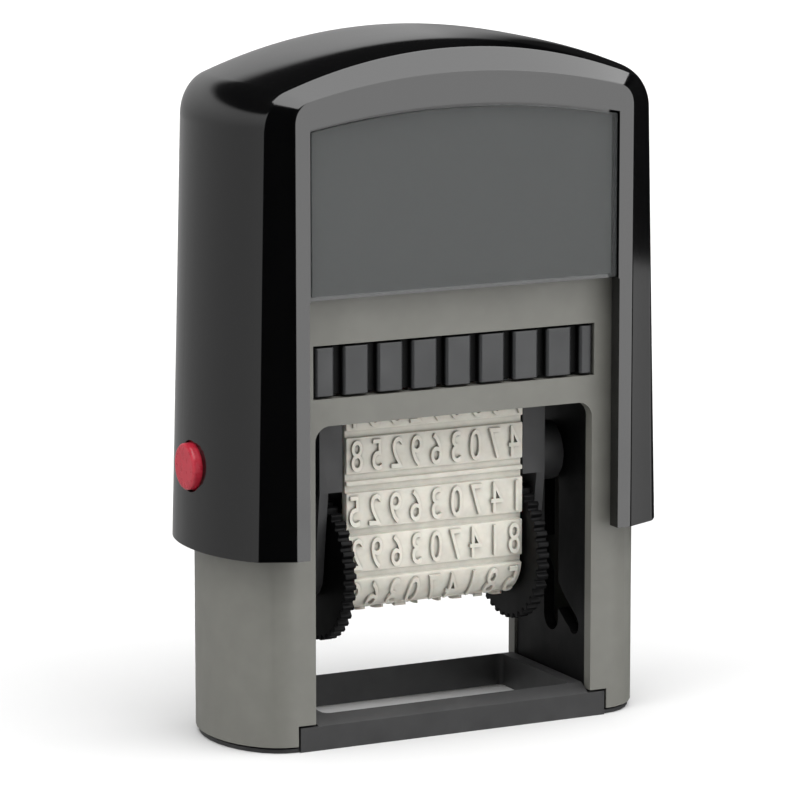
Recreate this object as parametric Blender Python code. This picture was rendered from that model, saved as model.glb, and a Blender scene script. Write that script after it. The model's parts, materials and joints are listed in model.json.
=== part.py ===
"""Self-inking word band stamp: a sprung cap over a skirt, a turning phrase band unit and an ink cassette.

Metres, +Z up, front towards -Y. The origin is the middle of the base, on the surface that it stands on.
At rest the cap is up and the print face lies against the ink pad. Pressing the cap carries the band unit
down through the stroke and turns it over, so that the print face meets the paper at z = 0.
"""

import collections
import math

import bmesh
import bpy
from mathutils import Vector

# Clearances between neighbouring pieces, and the overrun of every cut past the wall that it opens.
GAP = 0.0003
SLIDE_GAP = 0.0004
OVERRUN = 0.002

# Stroke and flip: at full stroke the unit has turned over and its print face meets the paper.
STROKE = 0.0220
PRINT_Z = 0.0440
AXLE_Z = (PRINT_Z + STROKE) / 2
AXLE_RADIUS = 0.0015

# Phrase band, with the drum at its foot and the platen under its print face.
BAND_HALF_WIDTH = 0.0125
BAND_HALF_THICK = 0.0059
BAND_BELT = 0.0009
TYPE_HEIGHT = 0.0009
TYPE_ROWS = 12
SEAM_BAR = 0.0015
SEAM_AFTER_ROW = 2
TYPE_GROOVE = 0.0009
PLATEN_FLAT_HALF = 0.0020
BAND_TOP_CENTRE_Z = PRINT_Z - (BAND_HALF_THICK - PLATEN_FLAT_HALF)
WHEEL_DROP = 0.0123
WHEEL_Z = AXLE_Z - WHEEL_DROP
DRUM_RADIUS = BAND_HALF_THICK - TYPE_HEIGHT - BAND_BELT - GAP
DRUM_FLUTES = 12
DRUM_FLUTE_DEPTH = 0.0006
DRUM_POINTS_EACH = 8
LEAF_ROOM = 0.0030
PLATEN_LOW = WHEEL_Z + DRUM_RADIUS + LEAF_ROOM

# Detent leaf between the platen and the drum.
LEAF_THICK = 0.00035
LEAF_HALF_WIDTH = 0.0040
LEAF_REACH = 0.0032
LEAF_KNEE = 0.0013
LEAF_KNEE_SHARE = 0.7

# Thumb wheels that move the band, on the drum's shaft.
THUMB_RADIUS = 0.0092
THUMB_INNER_X = BAND_HALF_WIDTH + SLIDE_GAP
THUMB_THICK = 0.0016
THUMB_TEETH = 40
THUMB_TOOTH = 0.0006
TOOTH_FOOT_SHARE = 0.3
TOOTH_RISE_SHARE = 0.45
TOOTH_TOP_SHARE = 0.85
SHAFT_RADIUS = 0.0012
SHAFT_END = 0.0008

# Cheeks that hold the band unit together, and their tie rod.
CHEEK_INNER_X = THUMB_INNER_X + THUMB_THICK + GAP
CHEEK_THICK = 0.0012
CHEEK_OUTER_X = CHEEK_INNER_X + CHEEK_THICK
CHEEK_HALF_DEPTH = BAND_HALF_THICK - TYPE_HEIGHT
CHEEK_TOP_DROP = 0.0012
CHEEK_CORNER = 0.0030
CHEEK_FOOT_RADIUS = 0.0036
CHEEK_LOBE_RADIUS = 0.0019
BLOCK_GAP = 0.0013
BLOCK_LOW = WHEEL_Z + THUMB_RADIUS + BLOCK_GAP
HUB_RADIUS = 0.00385
TIE_RADIUS = 0.0010
TIE_DROP = 0.0048
TIE_Z = PRINT_Z - TIE_DROP
TIE_HEAD_RADIUS = 0.0019
TIE_HEAD_THICK = 0.0008

# Skirt: the lower housing that stands on the paper round the band unit.
CHEEK_ROOM = 0.0035
WHEEL_SETBACK = 0.0018
WINDOW_HALF = CHEEK_OUTER_X + CHEEK_ROOM
WINDOW_CORNER = 0.0020
SKIRT_HALF_DEPTH = THUMB_RADIUS + WHEEL_SETBACK
SKIRT_BULGE = 0.0074
SKIRT_WALL = 0.0016
SKIRT_DRAFT = 0.0015
RIB_WIDTH = 0.0009
RIB_DEPTH = 0.0015

# Guide walls: the liner plates with the axle slot and the cam track, just outside the windows.
GUIDE_INNER_X = WINDOW_HALF + GAP
GUIDE_THICK = 0.0015
GUIDE_OUTER_X = GUIDE_INNER_X + GUIDE_THICK
GUIDE_HALF_DEPTH = SKIRT_HALF_DEPTH - SKIRT_WALL - GAP
CAM_RIM = 0.0018
FOLLOWER_RADIUS = 0.0009
FOLLOWER_ARM = GUIDE_HALF_DEPTH - CAM_RIM - SLIDE_GAP - FOLLOWER_RADIUS
TRIM_SHARE = 0.99
FLAT_MARGIN = 0.0007
SKIRT_FLAT = GUIDE_OUTER_X + FLAT_MARGIN

# Base frame: the clip-in ring round the print opening.
BASE_PLATE = 0.0005
BASE_INSET = 0.0004
SKIRT_FOOT = BASE_PLATE + GAP
RAIL_HALF = GUIDE_OUTER_X + GAP
RAIL_STEP = 0.0031
RAIL_CREST = 0.0042
RAIL_DEPTH = 0.0017
PRINT_ROOM = 0.0015
PRINT_HALF_WIDTH = CHEEK_OUTER_X + PRINT_ROOM
PRINT_HALF_DEPTH = SKIRT_HALF_DEPTH - RAIL_DEPTH
PRINT_CORNER = 0.0010

# Ink pad over the print face, and the cassette that holds it.
PAD_GAP = 0.0003
PAD_SIDE_MARGIN = 0.0025
PAD_DEPTH_MARGIN = 0.0011
PAD_HALF_WIDTH = BAND_HALF_WIDTH + PAD_SIDE_MARGIN
PAD_HALF_DEPTH = BAND_HALF_THICK + PAD_DEPTH_MARGIN
PAD_THICK = 0.0040
PAD_CORNER = 0.0010
CASSETTE_ROOF = 0.0022
CASSETTE_LOW = PRINT_Z + PAD_GAP + SLIDE_GAP
CASSETTE_HIGH = PRINT_Z + PAD_GAP + PAD_THICK + GAP + CASSETTE_ROOF
COMB_STEP = 0.00025
COMB_HALF = WINDOW_HALF + COMB_STEP
COMB_LOW = CASSETTE_LOW - GAP
COMB_HIGH = CASSETTE_HIGH + GAP
CASSETTE_HALF = COMB_HALF - GAP
RIB_PROUD = 0.0011
CASSETTE_BODY_DEPTH = SKIRT_HALF_DEPTH - RIB_PROUD
RIB_COUNT = 9
COMB_GAP = 0.0012
COMB_FIRST_SHARE = 0.74
COMB_LAST_SHARE = 0.50
COMB_ROUND = 0.0004
WINDOW_BAR = 0.0034
WINDOW_TOP = COMB_LOW - WINDOW_BAR

# Deck over the cassette, with the post that centres the return spring.
DECK_THICK = 0.0014
DECK_LOW = COMB_HIGH + GAP
DECK_HIGH = DECK_LOW + DECK_THICK
POST_RADIUS = 0.0025
POST_HEIGHT = 0.0045
PEG_LENGTH = 0.0015
POST_GAP = 0.00075
SPRING_WIRE = 0.00035
SPRING_RADIUS = POST_RADIUS + POST_GAP + SPRING_WIRE
SPRING_TURNS = 9
SPRING_POINTS_PER_TURN = 10
SPRING_SEAT_GAP = 0.0003
SPRING_SHUT = 0.0087

# Yoke: the bridge over the spring and the arms that carry the band unit from the cap.
YOKE_THICK = 0.0018
YOKE_HALF_DEPTH = 0.0036
YOKE_BRIDGE_THICK = 0.0020
YOKE_INNER_X = GUIDE_OUTER_X + SLIDE_GAP
YOKE_OUTER_X = YOKE_INNER_X + YOKE_THICK
BRIDGE_LOW = DECK_HIGH + SPRING_SHUT + STROKE
BRIDGE_TOP = BRIDGE_LOW + YOKE_BRIDGE_THICK
BRIDGE_GAP = 0.0006
AXLE_HEAD_RADIUS = 0.0024
AXLE_HEAD_THICK = 0.0007

# Cap: the shell that the hand presses, over the yoke and the skirt.
CAP_WALL = 0.0013
CAP_FACE_WALL = 0.0020
CAP_CROWN_WALL = 0.0022
SIDE_GAP = 0.0011
FACE_GAP = 0.0010
FOOT_ROOM = 0.0030
STOP_GAP = 0.0012
CAP_TAPER = 0.0020
CAP_LOW = STROKE + FOOT_ROOM
CROWN_INNER = BRIDGE_TOP + BRIDGE_GAP
CAP_TOP = CROWN_INNER + CAP_CROWN_WALL
CAP_HALF_LOW = SKIRT_FLAT + SKIRT_BULGE + SIDE_GAP + CAP_WALL
CAP_HALF_HIGH = CAP_HALF_LOW - CAP_TAPER
CAP_HALF_DEPTH = SKIRT_HALF_DEPTH + FACE_GAP + CAP_FACE_WALL
SKIRT_TOP = CROWN_INNER - STROKE - STOP_GAP
CROWN_RADIUS = 0.0700
CROWN_SHOULDER = 0.0060
FACE_MARGIN = 0.0015
FACE_DROP = 0.0041
CAP_FLAT = SKIRT_FLAT + FACE_MARGIN
CAP_FACE_TOP = CAP_TOP - FACE_DROP
FACE_CROWN_RADIUS = 0.0900
FACE_SHOULDER = 0.0025
FACE_BEVEL_SHARE = 0.86
FACE_BEVEL_RISE_SHARE = 0.49

# Label in the cap's front face, above the opening between the cap's legs.
PANEL_BORDER = 0.0020
PANEL_HEAD = 0.0039
PANEL_RISE = 0.0042
OPENING_STEP = 0.00015
PANEL_HALF = CAP_FLAT - PANEL_BORDER
PANEL_LOW = DECK_HIGH + PANEL_RISE
PANEL_TOP = CAP_FACE_TOP - PANEL_HEAD
OPENING_HALF = PANEL_HALF + OPENING_STEP
PANEL_RADIUS = 0.1100
PANEL_RECESS = 0.0014
LABEL_THICK = 0.00025
LABEL_GAP = 0.0002
WINDOW_THICK = 0.0007
LABEL_MARGIN = 0.0006

# Lock buttons in the cap's ends.
BUTTON_RISE = 0.0103
BUTTON_Z = CAP_LOW + BUTTON_RISE
BUTTON_RADIUS = 0.00295
BUTTON_PROUD = 0.0009
BUTTON_FLANGE_RADIUS = 0.0037
BUTTON_FLANGE = 0.0005
BUTTON_CROWN = 0.0004
BUTTON_CROWN_STEPS = 3

# Fineness of the curves.
ARC_STEPS = 8
HIDDEN_ARC_STEPS = 4
ROUND_STEPS = 32
BORE_STEPS = 24
PIN_STEPS = 16
TRACK_STEPS = 36
ROW_STEPS = 6
RIB_CORNER_STEPS = 3
CAP_STATIONS = (1.0, FACE_BEVEL_SHARE, 0.75, 0.6, 0.4, 0.2)
HOLLOW_STATIONS = (1.0, FACE_BEVEL_SHARE, 0.6, 0.3)
CAP_CREASE = 20
PLAIN_CREASE = 35


def clear_scene():
    for obj in list(bpy.data.objects):
        bpy.data.objects.remove(obj, do_unlink=True)


# Outlines in a plane, as lists of points.


def arc(centre, radius, start, end, steps=ARC_STEPS):
    """Points along an arc, angles in degrees, both ends included."""
    points = []
    for i in range(steps + 1):
        angle = math.radians(start + (end - start) * i / steps)
        points.append((centre[0] + radius * math.cos(angle), centre[1] + radius * math.sin(angle)))
    return points


def circle(centre, radius, steps=ROUND_STEPS):
    """A full circle, turned by half a step so that no corner lies on a plane of symmetry."""
    first = 180 / steps
    return arc(centre, radius, first, first + 360, steps)[:-1]


def box_outline(low, high, corner=0.0, top_only=False):
    """A rectangle with rounded corners, or with only its upper two rounded."""
    x0, y0 = low
    x1, y1 = high
    if corner == 0.0:
        return [(x0, y0), (x1, y0), (x1, y1), (x0, y1)]
    foot = [(x0, y0), (x1, y0)]
    if not top_only:
        foot = arc((x0 + corner, y0 + corner), corner, 180, 270)
        foot += arc((x1 - corner, y0 + corner), corner, 270, 360)
    top = arc((x1 - corner, y1 - corner), corner, 0, 90)
    return foot + top + arc((x0 + corner, y1 - corner), corner, 90, 180)


def plan_outline(flat, bulge, half_depth, steps=ARC_STEPS):
    """The housing's plan: flat front and back, half an ellipse at each end."""
    points = []
    for side in (1, -1):
        for i in range(2 * steps + 1):
            angle = math.radians(-90 + 90 * i / steps)
            points.append((side * (flat + bulge * math.cos(angle)), side * half_depth * math.sin(angle)))
    return points


def shoulder_height(reach, top, crown, shoulder):
    """Height of the shoulder arc's centre where that arc runs on into the crown arc."""
    return top - crown + math.sqrt((crown - shoulder) ** 2 - reach**2)


def arch_outline(half_low, half_high, low, top, crown, shoulder, steps=ARC_STEPS):
    """An upright arch in the XZ plane, from the right foot over the crown to the left foot."""
    crown_z = top - crown
    reach = half_high - shoulder
    shoulder_z = shoulder_height(reach, top, crown, shoulder)
    tangent = math.degrees(math.atan2(shoulder_z - crown_z, reach))
    right = [(half_low, low)]
    right += arc((reach, shoulder_z), shoulder, 0, tangent, steps)
    middle = arc((0.0, crown_z), crown, tangent, 180 - tangent, 2 * steps)[1:-1]
    left = [(-x, z) for x, z in reversed(right)]
    return right + middle + left


# Meshes from outlines.


def mesh_from(name, points, faces, twisted=False):
    """A mesh with its faces turned outwards. Where quads are twisted, they are split into triangles."""
    mesh = bpy.data.meshes.new(name)
    mesh.from_pydata([Vector(p) for p in points], [], faces)
    bm = bmesh.new()
    bm.from_mesh(mesh)
    if twisted:
        bmesh.ops.triangulate(bm, faces=[face for face in bm.faces if len(face.verts) == 4])
    bmesh.ops.recalc_face_normals(bm, faces=bm.faces)
    bm.to_mesh(mesh)
    bm.free()
    return mesh


def loft(name, rings, twisted=False):
    """A closed solid through rings of equal point counts, with flat ends."""
    count = len(rings[0])
    points = [p for ring in rings for p in ring]
    faces = [list(range(count)), list(range(len(points) - count, len(points)))]
    for level in range(len(rings) - 1):
        for i in range(count):
            j = (i + 1) % count
            low, high = level * count, (level + 1) * count
            faces.append([low + i, low + j, high + j, high + i])
    return mesh_from(name, points, faces, twisted)


def along_x(name, outline, low, high):
    return loft(name, [[(x, a, b) for a, b in outline] for x in (low, high)])


def along_y(name, outline, low, high):
    return loft(name, [[(a, y, b) for a, b in outline] for y in (low, high)])


def along_z(name, outline, low, high):
    return loft(name, [[(a, b, z) for a, b in outline] for z in (low, high)])


def turned_x(name, profile, centre, steps=ROUND_STEPS):
    """A solid turned round an axis along X, from (x, radius) pairs, at centre (y, z)."""
    rings = [[(x, a, b) for a, b in circle(centre, radius, steps)] for x, radius in profile]
    return loft(name, rings)


# Objects.


def material(name, colour, roughness, metallic=0.0):
    found = bpy.data.materials.new(name)
    found.use_nodes = True
    shader = found.node_tree.nodes["Principled BSDF"]
    shader.inputs["Base Color"].default_value = (*colour, 1.0)
    shader.inputs["Roughness"].default_value = roughness
    shader.inputs["Metallic"].default_value = metallic
    return found


Pivot = collections.namedtuple("Pivot", ("empty", "place"))


def pivot(name, place, carrier=None):
    """An empty on a joint's axis, which may itself hang on another."""
    empty = bpy.data.objects.new(name, None)
    empty.location = Vector(place)
    if carrier is not None:
        empty.parent = carrier.empty
        empty.location -= carrier.place
    bpy.context.collection.objects.link(empty)
    return Pivot(empty, Vector(place))


def piece(name, mesh, finish, carrier=None):
    """One sub-part. Its mesh is drawn in the object's frame and then hung on its carrier's pivot."""
    obj = bpy.data.objects.new(name, mesh)
    bpy.context.collection.objects.link(obj)
    mesh.materials.append(finish)
    if carrier is not None:
        for vertex in mesh.vertices:
            vertex.co -= carrier.place
        obj.parent = carrier.empty
    return obj


def helper(mesh):
    """A hidden shape that a Boolean reads."""
    obj = bpy.data.objects.new(mesh.name, mesh)
    bpy.context.collection.objects.link(obj)
    obj.hide_render = True
    obj.display_type = "WIRE"
    return obj


def boolean(obj, mesh, operation):
    modifier = obj.modifiers.new(operation.lower() + "_" + mesh.name, "BOOLEAN")
    modifier.operation = operation
    modifier.solver = "EXACT"
    modifier.object = helper(mesh)


def cut(obj, *meshes):
    for mesh in meshes:
        boolean(obj, mesh, "DIFFERENCE")


def join(obj, *meshes):
    for mesh in meshes:
        boolean(obj, mesh, "UNION")


def smooth(obj, crease=PLAIN_CREASE):
    obj.data.shade_smooth()
    obj.data.set_sharp_from_angle(angle=math.radians(crease))


def mirrored(side):
    """left is -X, right is +X."""
    return -1 if side == "left" else 1


def span(side, inner, outer):
    """Low and high X of something that lies between inner and outer on one side."""
    sign = mirrored(side)
    return tuple(sorted((sign * inner, sign * outer)))


# Skirt.


def skirt_bulge(z):
    """How far the skirt's rounded ends reach beyond its flats at a height."""
    rise = max(0.0, z - CAP_LOW) / (SKIRT_TOP - CAP_LOW)
    return SKIRT_BULGE - SKIRT_DRAFT * rise


def skirt_ring(z):
    return [(x, y, z) for x, y in plan_outline(SKIRT_FLAT, skirt_bulge(z), SKIRT_HALF_DEPTH)]


def hollow_ring(z):
    """The hollow's plan inside the skirt, with four ribs left standing behind the guide walls."""
    inner = GUIDE_OUTER_X + GAP
    outer = inner + RIB_WIDTH
    depth = SKIRT_HALF_DEPTH - SKIRT_WALL
    end = SKIRT_FLAT + skirt_bulge(z) - SKIRT_WALL
    plan = plan_outline(outer, end - outer, depth)
    count = len(plan) // 2
    ring = []
    for sign, half in ((1, plan[:count]), (-1, plan[count:])):
        near = sign * (RIB_DEPTH - depth)
        ring += [(sign * inner, -sign * depth), (sign * inner, near), (sign * outer, near)]
        ring += half
        ring += [(sign * outer, -near), (sign * inner, -near), (sign * inner, sign * depth)]
    return [(x, y, z) for x, y in ring]


def skirt_hollow(name, *levels):
    return loft(name, [hollow_ring(z) for z in levels], True)


def make_skirt(finish):
    levels = (SKIRT_FOOT, CAP_LOW, SKIRT_TOP)
    skirt = piece("skirt_frame", loft("skirt_frame", [skirt_ring(z) for z in levels], True), finish)
    lower_hollow = skirt_hollow("lower_hollow", SKIRT_FOOT - OVERRUN, CAP_LOW, DECK_LOW)
    upper_hollow = skirt_hollow("upper_hollow", DECK_HIGH, SKIRT_TOP + OVERRUN)
    windows = along_y(
        "windows",
        box_outline(
            (-WINDOW_HALF, RAIL_STEP),
            (WINDOW_HALF, WINDOW_TOP),
            WINDOW_CORNER,
            top_only=True,
        ),
        -SKIRT_HALF_DEPTH - OVERRUN,
        SKIRT_HALF_DEPTH + OVERRUN,
    )
    notch_half = RAIL_HALF + GAP
    notches = along_y(
        "rail_notches",
        box_outline((-notch_half, SKIRT_FOOT - OVERRUN), (notch_half, RAIL_STEP + GAP)),
        -SKIRT_HALF_DEPTH - OVERRUN,
        SKIRT_HALF_DEPTH + OVERRUN,
    )
    comb = along_y(
        "comb_openings",
        box_outline((-COMB_HALF, COMB_LOW), (COMB_HALF, COMB_HIGH)),
        -SKIRT_HALF_DEPTH - OVERRUN,
        SKIRT_HALF_DEPTH + OVERRUN,
    )
    cut(skirt, lower_hollow, upper_hollow, windows, notches, comb)
    for side in ("left", "right"):
        low, high = span(side, YOKE_INNER_X - GAP, YOKE_OUTER_X + GAP)
        half = YOKE_HALF_DEPTH + SLIDE_GAP
        slot = box_outline((low, -half), (high, half))
        cut(skirt, along_z("arm_slot_" + side, slot, DECK_LOW - OVERRUN, DECK_HIGH + OVERRUN))
    post = circle((0.0, 0.0), POST_RADIUS, BORE_STEPS)
    join(skirt, along_z("spring_post", post, DECK_LOW, DECK_HIGH + POST_HEIGHT))
    clear = cap_rings(
        CAP_LOW - OVERRUN,
        (CAP_FACE_WALL, 0.0, CAP_WALL + SLIDE_GAP, CAP_CROWN_WALL),
        HOLLOW_STATIONS,
        HIDDEN_ARC_STEPS,
    )
    pressed = [[(x, y, z - STROKE - STOP_GAP) for x, y, z in ring] for ring in clear]
    boolean(skirt, loft("pressed_cap", pressed, True), "INTERSECT")
    smooth(skirt)
    return skirt


# Base frame.


def make_base(finish):
    plate = along_z(
        "base_frame",
        plan_outline(SKIRT_FLAT, SKIRT_BULGE - BASE_INSET, SKIRT_HALF_DEPTH - BASE_INSET),
        0.0,
        BASE_PLATE,
    )
    base = piece("base_frame", plate, finish)
    depth = SKIRT_HALF_DEPTH
    crest = PRINT_HALF_DEPTH
    side_profile = [
        (-depth, 0.0),
        (depth, 0.0),
        (depth, RAIL_STEP),
        (crest, RAIL_CREST),
        (-crest, RAIL_CREST),
        (-depth, RAIL_STEP),
    ]
    inner_half = WINDOW_HALF - GAP
    join(base, along_x("raised_ring", side_profile, -inner_half, inner_half))
    low_profile = [(-depth, 0.0), (depth, 0.0), (depth, RAIL_STEP), (-depth, RAIL_STEP)]
    join(base, along_x("rail_ends", low_profile, -RAIL_HALF, RAIL_HALF))
    opening = box_outline(
        (-PRINT_HALF_WIDTH, -PRINT_HALF_DEPTH),
        (PRINT_HALF_WIDTH, PRINT_HALF_DEPTH),
        PRINT_CORNER,
    )
    cut(base, along_z("print_opening", opening, -OVERRUN, RAIL_CREST + OVERRUN))
    return base


# Guide walls.


def follower_place(turn):
    """Centre of the follower pin in the YZ plane at a share of the stroke, 0 to 1."""
    angle = math.pi * turn
    y = FOLLOWER_ARM * math.cos(angle)
    z = AXLE_Z - STROKE * turn - FOLLOWER_ARM * math.sin(angle)
    return y, z


def cam_outline(half_width, steps=TRACK_STEPS):
    """The cam track's outline: a band round the follower's path, trimmed inside its tight turn."""
    path = [follower_place(i / steps) for i in range(steps + 1)]

    def heading(i):
        near, far = path[max(i - 1, 0)], path[min(i + 1, steps)]
        return math.degrees(math.atan2(far[1] - near[1], far[0] - near[0]))

    def beside(turn):
        points = []
        for i in range(1, steps):
            angle = math.radians(heading(i) + turn)
            y, z = path[i]
            point = (y + half_width * math.cos(angle), z + half_width * math.sin(angle))
            if min(math.dist(point, place) for place in path) > half_width * TRIM_SHARE:
                points.append(point)
        return points

    first = arc(path[0], half_width, heading(0) - 90, heading(0) - 270)
    last = arc(path[-1], half_width, heading(steps) + 90, heading(steps) - 90)
    return first + beside(90) + last + beside(-90)[::-1]


def make_guide_wall(side, finish):
    low, high = span(side, GUIDE_INNER_X, GUIDE_OUTER_X)
    plate = box_outline(
        (-GUIDE_HALF_DEPTH, RAIL_STEP + GAP),
        (GUIDE_HALF_DEPTH, DECK_LOW - GAP),
    )
    wall = piece("guide_wall_" + side, along_x("guide_wall_" + side, plate, low, high), finish)
    slot_half = AXLE_RADIUS + SLIDE_GAP
    slot = arc((0.0, AXLE_Z), slot_half, 0, 180) + arc((0.0, AXLE_Z - STROKE), slot_half, 180, 360)
    track = cam_outline(FOLLOWER_RADIUS + SLIDE_GAP)
    ends = (low - OVERRUN, high + OVERRUN)
    cut(
        wall,
        along_x("axle_slot_" + side, slot, *ends),
        along_x("cam_track_" + side, track, *ends),
    )
    return wall


# Cap.


def cap_rings(low, insets, stations, steps):
    """The cap's form as arches across its depth. The first step in from each face is a flat bevel.

    The insets are from the cap's face, from its sides at the foot and at the shoulder, and from its crown.
    """
    face_inset, foot_inset, side_inset, crown_inset = insets
    depth = CAP_HALF_DEPTH - face_inset
    face = arch_outline(
        CAP_FLAT,
        CAP_FLAT,
        low,
        CAP_FACE_TOP - crown_inset,
        FACE_CROWN_RADIUS - crown_inset,
        FACE_SHOULDER,
        steps,
    )
    middle = arch_outline(
        CAP_HALF_LOW - foot_inset,
        CAP_HALF_HIGH - side_inset,
        low,
        CAP_TOP - crown_inset,
        CROWN_RADIUS - crown_inset,
        CROWN_SHOULDER,
        steps,
    )
    front = [-share for share in stations]
    back = list(reversed(stations))
    rings = []
    for share in front + [0.0] + back:
        spread = math.sqrt(1 - share**2)
        rise = 0.0
        if spread > 0.0:
            rise = 1 - (1 - FACE_BEVEL_RISE_SHARE) * (share / FACE_BEVEL_SHARE) ** 2
        ring = []
        for near, far in zip(face, middle):
            x = near[0] + (far[0] - near[0]) * spread
            z = near[1] + (far[1] - near[1]) * rise
            ring.append((x, depth * share, z))
        rings.append(ring)
    return rings


def cap_half(z):
    """Half width of the cap's outside at a height."""
    top = shoulder_height(CAP_HALF_HIGH - CROWN_SHOULDER, CAP_TOP, CROWN_RADIUS, CROWN_SHOULDER)
    return CAP_HALF_LOW + (CAP_HALF_HIGH - CAP_HALF_LOW) * (z - CAP_LOW) / (top - CAP_LOW)


def panel_outline(inset, foot_drop=0.0):
    """The label's place on the face: straight foot and sides under a shallow arch."""
    half = PANEL_HALF - inset
    top = PANEL_TOP - inset
    centre_z = top - PANEL_RADIUS
    tilt = math.degrees(math.asin(half / PANEL_RADIUS))
    arch = arc((0.0, centre_z), PANEL_RADIUS, 90 - tilt, 90 + tilt, 2 * ARC_STEPS)
    foot = PANEL_LOW + inset - foot_drop
    return [(-half, foot), (half, foot)] + arch


def make_cap(finish, carrier):
    outside = cap_rings(CAP_LOW, (0.0, 0.0, 0.0, 0.0), CAP_STATIONS, ARC_STEPS)
    insets = (CAP_FACE_WALL, CAP_WALL, CAP_WALL, CAP_CROWN_WALL)
    inside = cap_rings(CAP_LOW - OVERRUN, insets, HOLLOW_STATIONS, HIDDEN_ARC_STEPS)
    cap = piece("cap_shell", loft("cap_shell", outside, True), finish, carrier)
    hollow = loft("cap_hollow", inside, True)
    reach = CAP_HALF_DEPTH + OVERRUN
    opening = box_outline((-OPENING_HALF, CAP_LOW - OVERRUN), (OPENING_HALF, PANEL_LOW))
    floor = CAP_HALF_DEPTH - PANEL_RECESS
    cut(
        cap,
        hollow,
        along_y("cap_openings", opening, -reach, reach),
        along_y("front_recess", panel_outline(0.0, OVERRUN), -reach, -floor),
        along_y("back_recess", panel_outline(0.0, OVERRUN), floor, reach),
    )
    outer = cap_half(BUTTON_Z)
    inner = outer - CAP_WALL
    for side in ("left", "right"):
        sign = mirrored(side)
        bore = circle((0.0, BUTTON_Z), BUTTON_RADIUS + GAP)
        seat = circle((0.0, BUTTON_Z), BUTTON_FLANGE_RADIUS + GAP)
        seat_end = inner + BUTTON_FLANGE + GAP
        cut(
            cap,
            along_x("button_bore_" + side, bore, *sorted((sign * inner, sign * (outer + OVERRUN)))),
            along_x("button_seat_" + side, seat, *sorted((sign * (inner - OVERRUN), sign * seat_end))),
        )
    smooth(cap, CAP_CREASE)
    return cap


def make_label(card_finish, clear_finish, carrier):
    face = -CAP_HALF_DEPTH
    card_back = face + PANEL_RECESS - LABEL_GAP
    cover_back = face + WINDOW_THICK
    card = along_y("index_label", panel_outline(LABEL_MARGIN), card_back - LABEL_THICK, card_back)
    piece("index_label", card, card_finish, carrier)
    cover = along_y("index_window", panel_outline(GAP), face, cover_back)
    return piece("index_window", cover, clear_finish, carrier)


def make_yoke(finish, carrier):
    centre_z = CAP_TOP - CROWN_RADIUS
    outer_radius = BRIDGE_TOP - centre_z
    inner_radius = outer_radius - YOKE_BRIDGE_THICK
    outer_tilt = math.degrees(math.asin(YOKE_OUTER_X / outer_radius))
    inner_tilt = math.degrees(math.asin(YOKE_OUTER_X / inner_radius))
    strip = arc((0.0, centre_z), outer_radius, 90 - outer_tilt, 90 + outer_tilt, 2 * ARC_STEPS)
    strip += arc((0.0, centre_z), inner_radius, 90 + inner_tilt, 90 - inner_tilt, 2 * ARC_STEPS)
    bridge = along_y("yoke", strip, -YOKE_HALF_DEPTH, YOKE_HALF_DEPTH)
    yoke = piece("yoke", bridge, finish, carrier)
    middle_radius = outer_radius - YOKE_BRIDGE_THICK / 2
    arm_top = centre_z + math.sqrt(middle_radius**2 - YOKE_OUTER_X**2)
    arm = arc((0.0, AXLE_Z), YOKE_HALF_DEPTH, 180, 360)
    arm += [(YOKE_HALF_DEPTH, arm_top), (-YOKE_HALF_DEPTH, arm_top)]
    bore = circle((0.0, AXLE_Z), AXLE_RADIUS + GAP, BORE_STEPS)
    for side in ("left", "right"):
        low, high = span(side, YOKE_INNER_X, YOKE_OUTER_X)
        join(yoke, along_x("yoke_arm_" + side, arm, low, high))
        cut(yoke, along_x("axle_bore_" + side, bore, low - OVERRUN, high + OVERRUN))
    peg_low = BRIDGE_LOW - PEG_LENGTH
    peg = circle((0.0, 0.0), POST_RADIUS, BORE_STEPS)
    join(yoke, along_z("spring_peg", peg, peg_low, BRIDGE_LOW + GAP))
    return yoke


def make_axle_pin(side, finish, carrier):
    sign = mirrored(side)
    start = CHEEK_INNER_X + GAP
    shoulder = YOKE_OUTER_X + GAP
    end = shoulder + AXLE_HEAD_THICK
    profile = [
        (sign * start, AXLE_RADIUS),
        (sign * shoulder, AXLE_RADIUS),
        (sign * shoulder, AXLE_HEAD_RADIUS),
        (sign * end, AXLE_HEAD_RADIUS),
    ]
    name = "axle_pin_" + side
    pin = piece(name, turned_x(name, profile, (0.0, AXLE_Z), BORE_STEPS), finish, carrier)
    smooth(pin)
    return pin


def make_lock_button(side, finish, carrier):
    sign = mirrored(side)
    outer = cap_half(BUTTON_Z)
    inner = outer - CAP_WALL
    step = inner + BUTTON_FLANGE
    face = outer + BUTTON_PROUD
    profile = [
        (sign * inner, BUTTON_FLANGE_RADIUS),
        (sign * step, BUTTON_FLANGE_RADIUS),
        (sign * step, BUTTON_RADIUS),
        (sign * (face - BUTTON_CROWN), BUTTON_RADIUS),
    ]
    for k in range(1, BUTTON_CROWN_STEPS + 1):
        angle = math.radians(90 * k / BUTTON_CROWN_STEPS)
        x = face - BUTTON_CROWN + BUTTON_CROWN * math.sin(angle)
        profile.append((sign * x, BUTTON_RADIUS - BUTTON_CROWN * (1 - math.cos(angle))))
    name = "lock_button_" + side
    button = piece(name, turned_x(name, profile, (0.0, BUTTON_Z)), finish, carrier)
    smooth(button)
    return button


# Ink cassette.


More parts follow.
